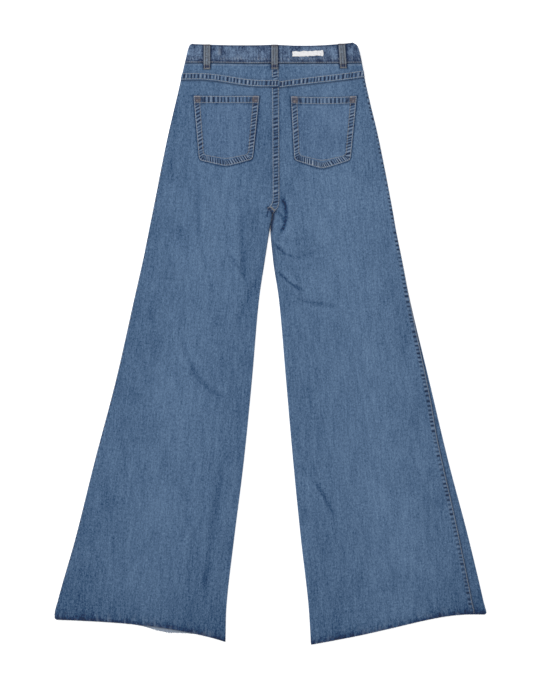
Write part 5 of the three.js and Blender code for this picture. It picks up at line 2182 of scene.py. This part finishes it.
class JEANS_OT_stage(bpy.types.Operator):
    """Camera straight above, soft lights and a plain pale floor"""

    bl_idname = "jeans.stage"
    bl_label = "Stage"

    def execute(self, context):
        scene, stage = context.scene, context.scene.jeans_stage
        lens = bpy.data.cameras.new("camera")
        lens.lens = stage.lens
        lens.sensor_width = 36
        camera = bpy.data.objects.new("camera", lens)
        camera.location = (0, 0, stage.camera_height)
        scene.collection.objects.link(camera)
        scene.camera = camera

        mesh = bpy.data.meshes.new("floor")
        far = FLOOR_REACH
        corners = ((-far, -far), (far, -far), (far, far), (-far, far))
        mesh.from_pydata([(x, y, FLOOR_HEIGHT) for x, y in corners], [], [(0, 1, 2, 3)])
        floor = bpy.data.objects.new("floor", mesh)
        pale = bpy.data.materials.new("floor")
        pale.use_nodes = True
        tree = pale.node_tree
        shader = tree.nodes["Principled BSDF"]
        shader.inputs["Base Color"].default_value = solid(stage.floor)
        shader.inputs["Roughness"].default_value = 0.9
        shader.inputs["Specular IOR Level"].default_value = 0.1
        shader.inputs["Emission Color"].default_value = (1, 1, 1, 1)
        nearby = put(tree, "ShaderNodeAmbientOcclusion", inputs={"Distance": GLOW_REACH})
        lit = maths(tree, "MULTIPLY_ADD", nearby.outputs["AO"], 4.0, -0.5)
        lit = maths(tree, "MINIMUM", maths(tree, "MAXIMUM", lit, 0), 1)
        glow = maths(tree, "MULTIPLY", lit, stage.floor_glow)
        tree.links.new(glow, shader.inputs["Emission Strength"])
        mesh.materials.append(pale)
        scene.collection.objects.link(floor)

        for name, place, size, power in (
            ("key", (-1.9, 1.5, 2.4), 1.3, stage.key_power),
            ("fill", (1.6, -1.2, 2.8), 2.4, stage.key_power * 0.35),
        ):
            light = bpy.data.lights.new(name, "AREA")
            light.size = size
            light.energy = power
            lamp = bpy.data.objects.new(name, light)
            lamp.location = place
            lamp.rotation_euler = (-Vector(place)).to_track_quat("-Z", "Y").to_euler()
            scene.collection.objects.link(lamp)

        world = bpy.data.worlds.new("studio")
        world.use_nodes = True
        background = world.node_tree.nodes["Background"]
        background.inputs["Color"].default_value = (1, 1, 1, 1)
        background.inputs["Strength"].default_value = stage.sky
        scene.world = world
        scene.view_settings.view_transform = "Standard"
        return {"FINISHED"}


class JEANS_PT_parts(bpy.types.Panel):
    """Buttons for the parts of the jeans, with their sizes and colours"""

    bl_idname = "JEANS_PT_parts"
    bl_label = "Wide leg jeans"
    bl_space_type = "VIEW_3D"
    bl_region_type = "UI"
    bl_category = "Jeans"

    def draw(self, context):
        for made in OPERATORS:
            self.layout.operator(made.bl_idname)
        for group in ("jeans_sizes", "jeans_looks", "jeans_stage"):
            settings = getattr(context.scene, group)
            box = self.layout.box()
            for name in settings.__annotations__:
                box.prop(settings, name)


OPERATORS = (
    JEANS_OT_stage,
    JEANS_OT_panels,
    JEANS_OT_yoke,
    JEANS_OT_waistband,
    JEANS_OT_pockets,
    JEANS_OT_belt_loops,
    JEANS_OT_label,
    JEANS_OT_button,
    JEANS_OT_topstitching,
    JEANS_OT_bar_tacks,
    JEANS_OT_frayed_hems,
)
SETTINGS = {"jeans_sizes": JeansSizes, "jeans_looks": JeansLooks, "jeans_stage": JeansStage}


def register():
    for name, group in SETTINGS.items():
        bpy.utils.register_class(group)
        setattr(bpy.types.Scene, name, bpy.props.PointerProperty(type=group))
    for made in (*OPERATORS, JEANS_PT_parts):
        bpy.utils.register_class(made)


def unregister():
    for made in (JEANS_PT_parts, *reversed(OPERATORS)):
        bpy.utils.unregister_class(made)
    for name, group in reversed(SETTINGS.items()):
        delattr(bpy.types.Scene, name)
        bpy.utils.unregister_class(group)


def main():
    register()
    jeans = bpy.ops.jeans
    jeans.stage()
    jeans.panels()
    jeans.yoke()
    jeans.waistband()
    jeans.pockets()
    jeans.belt_loops()
    jeans.label()
    jeans.button()
    jeans.topstitching()
    jeans.bar_tacks()
    jeans.frayed_hems()


if __name__ == "__main__":
    main()
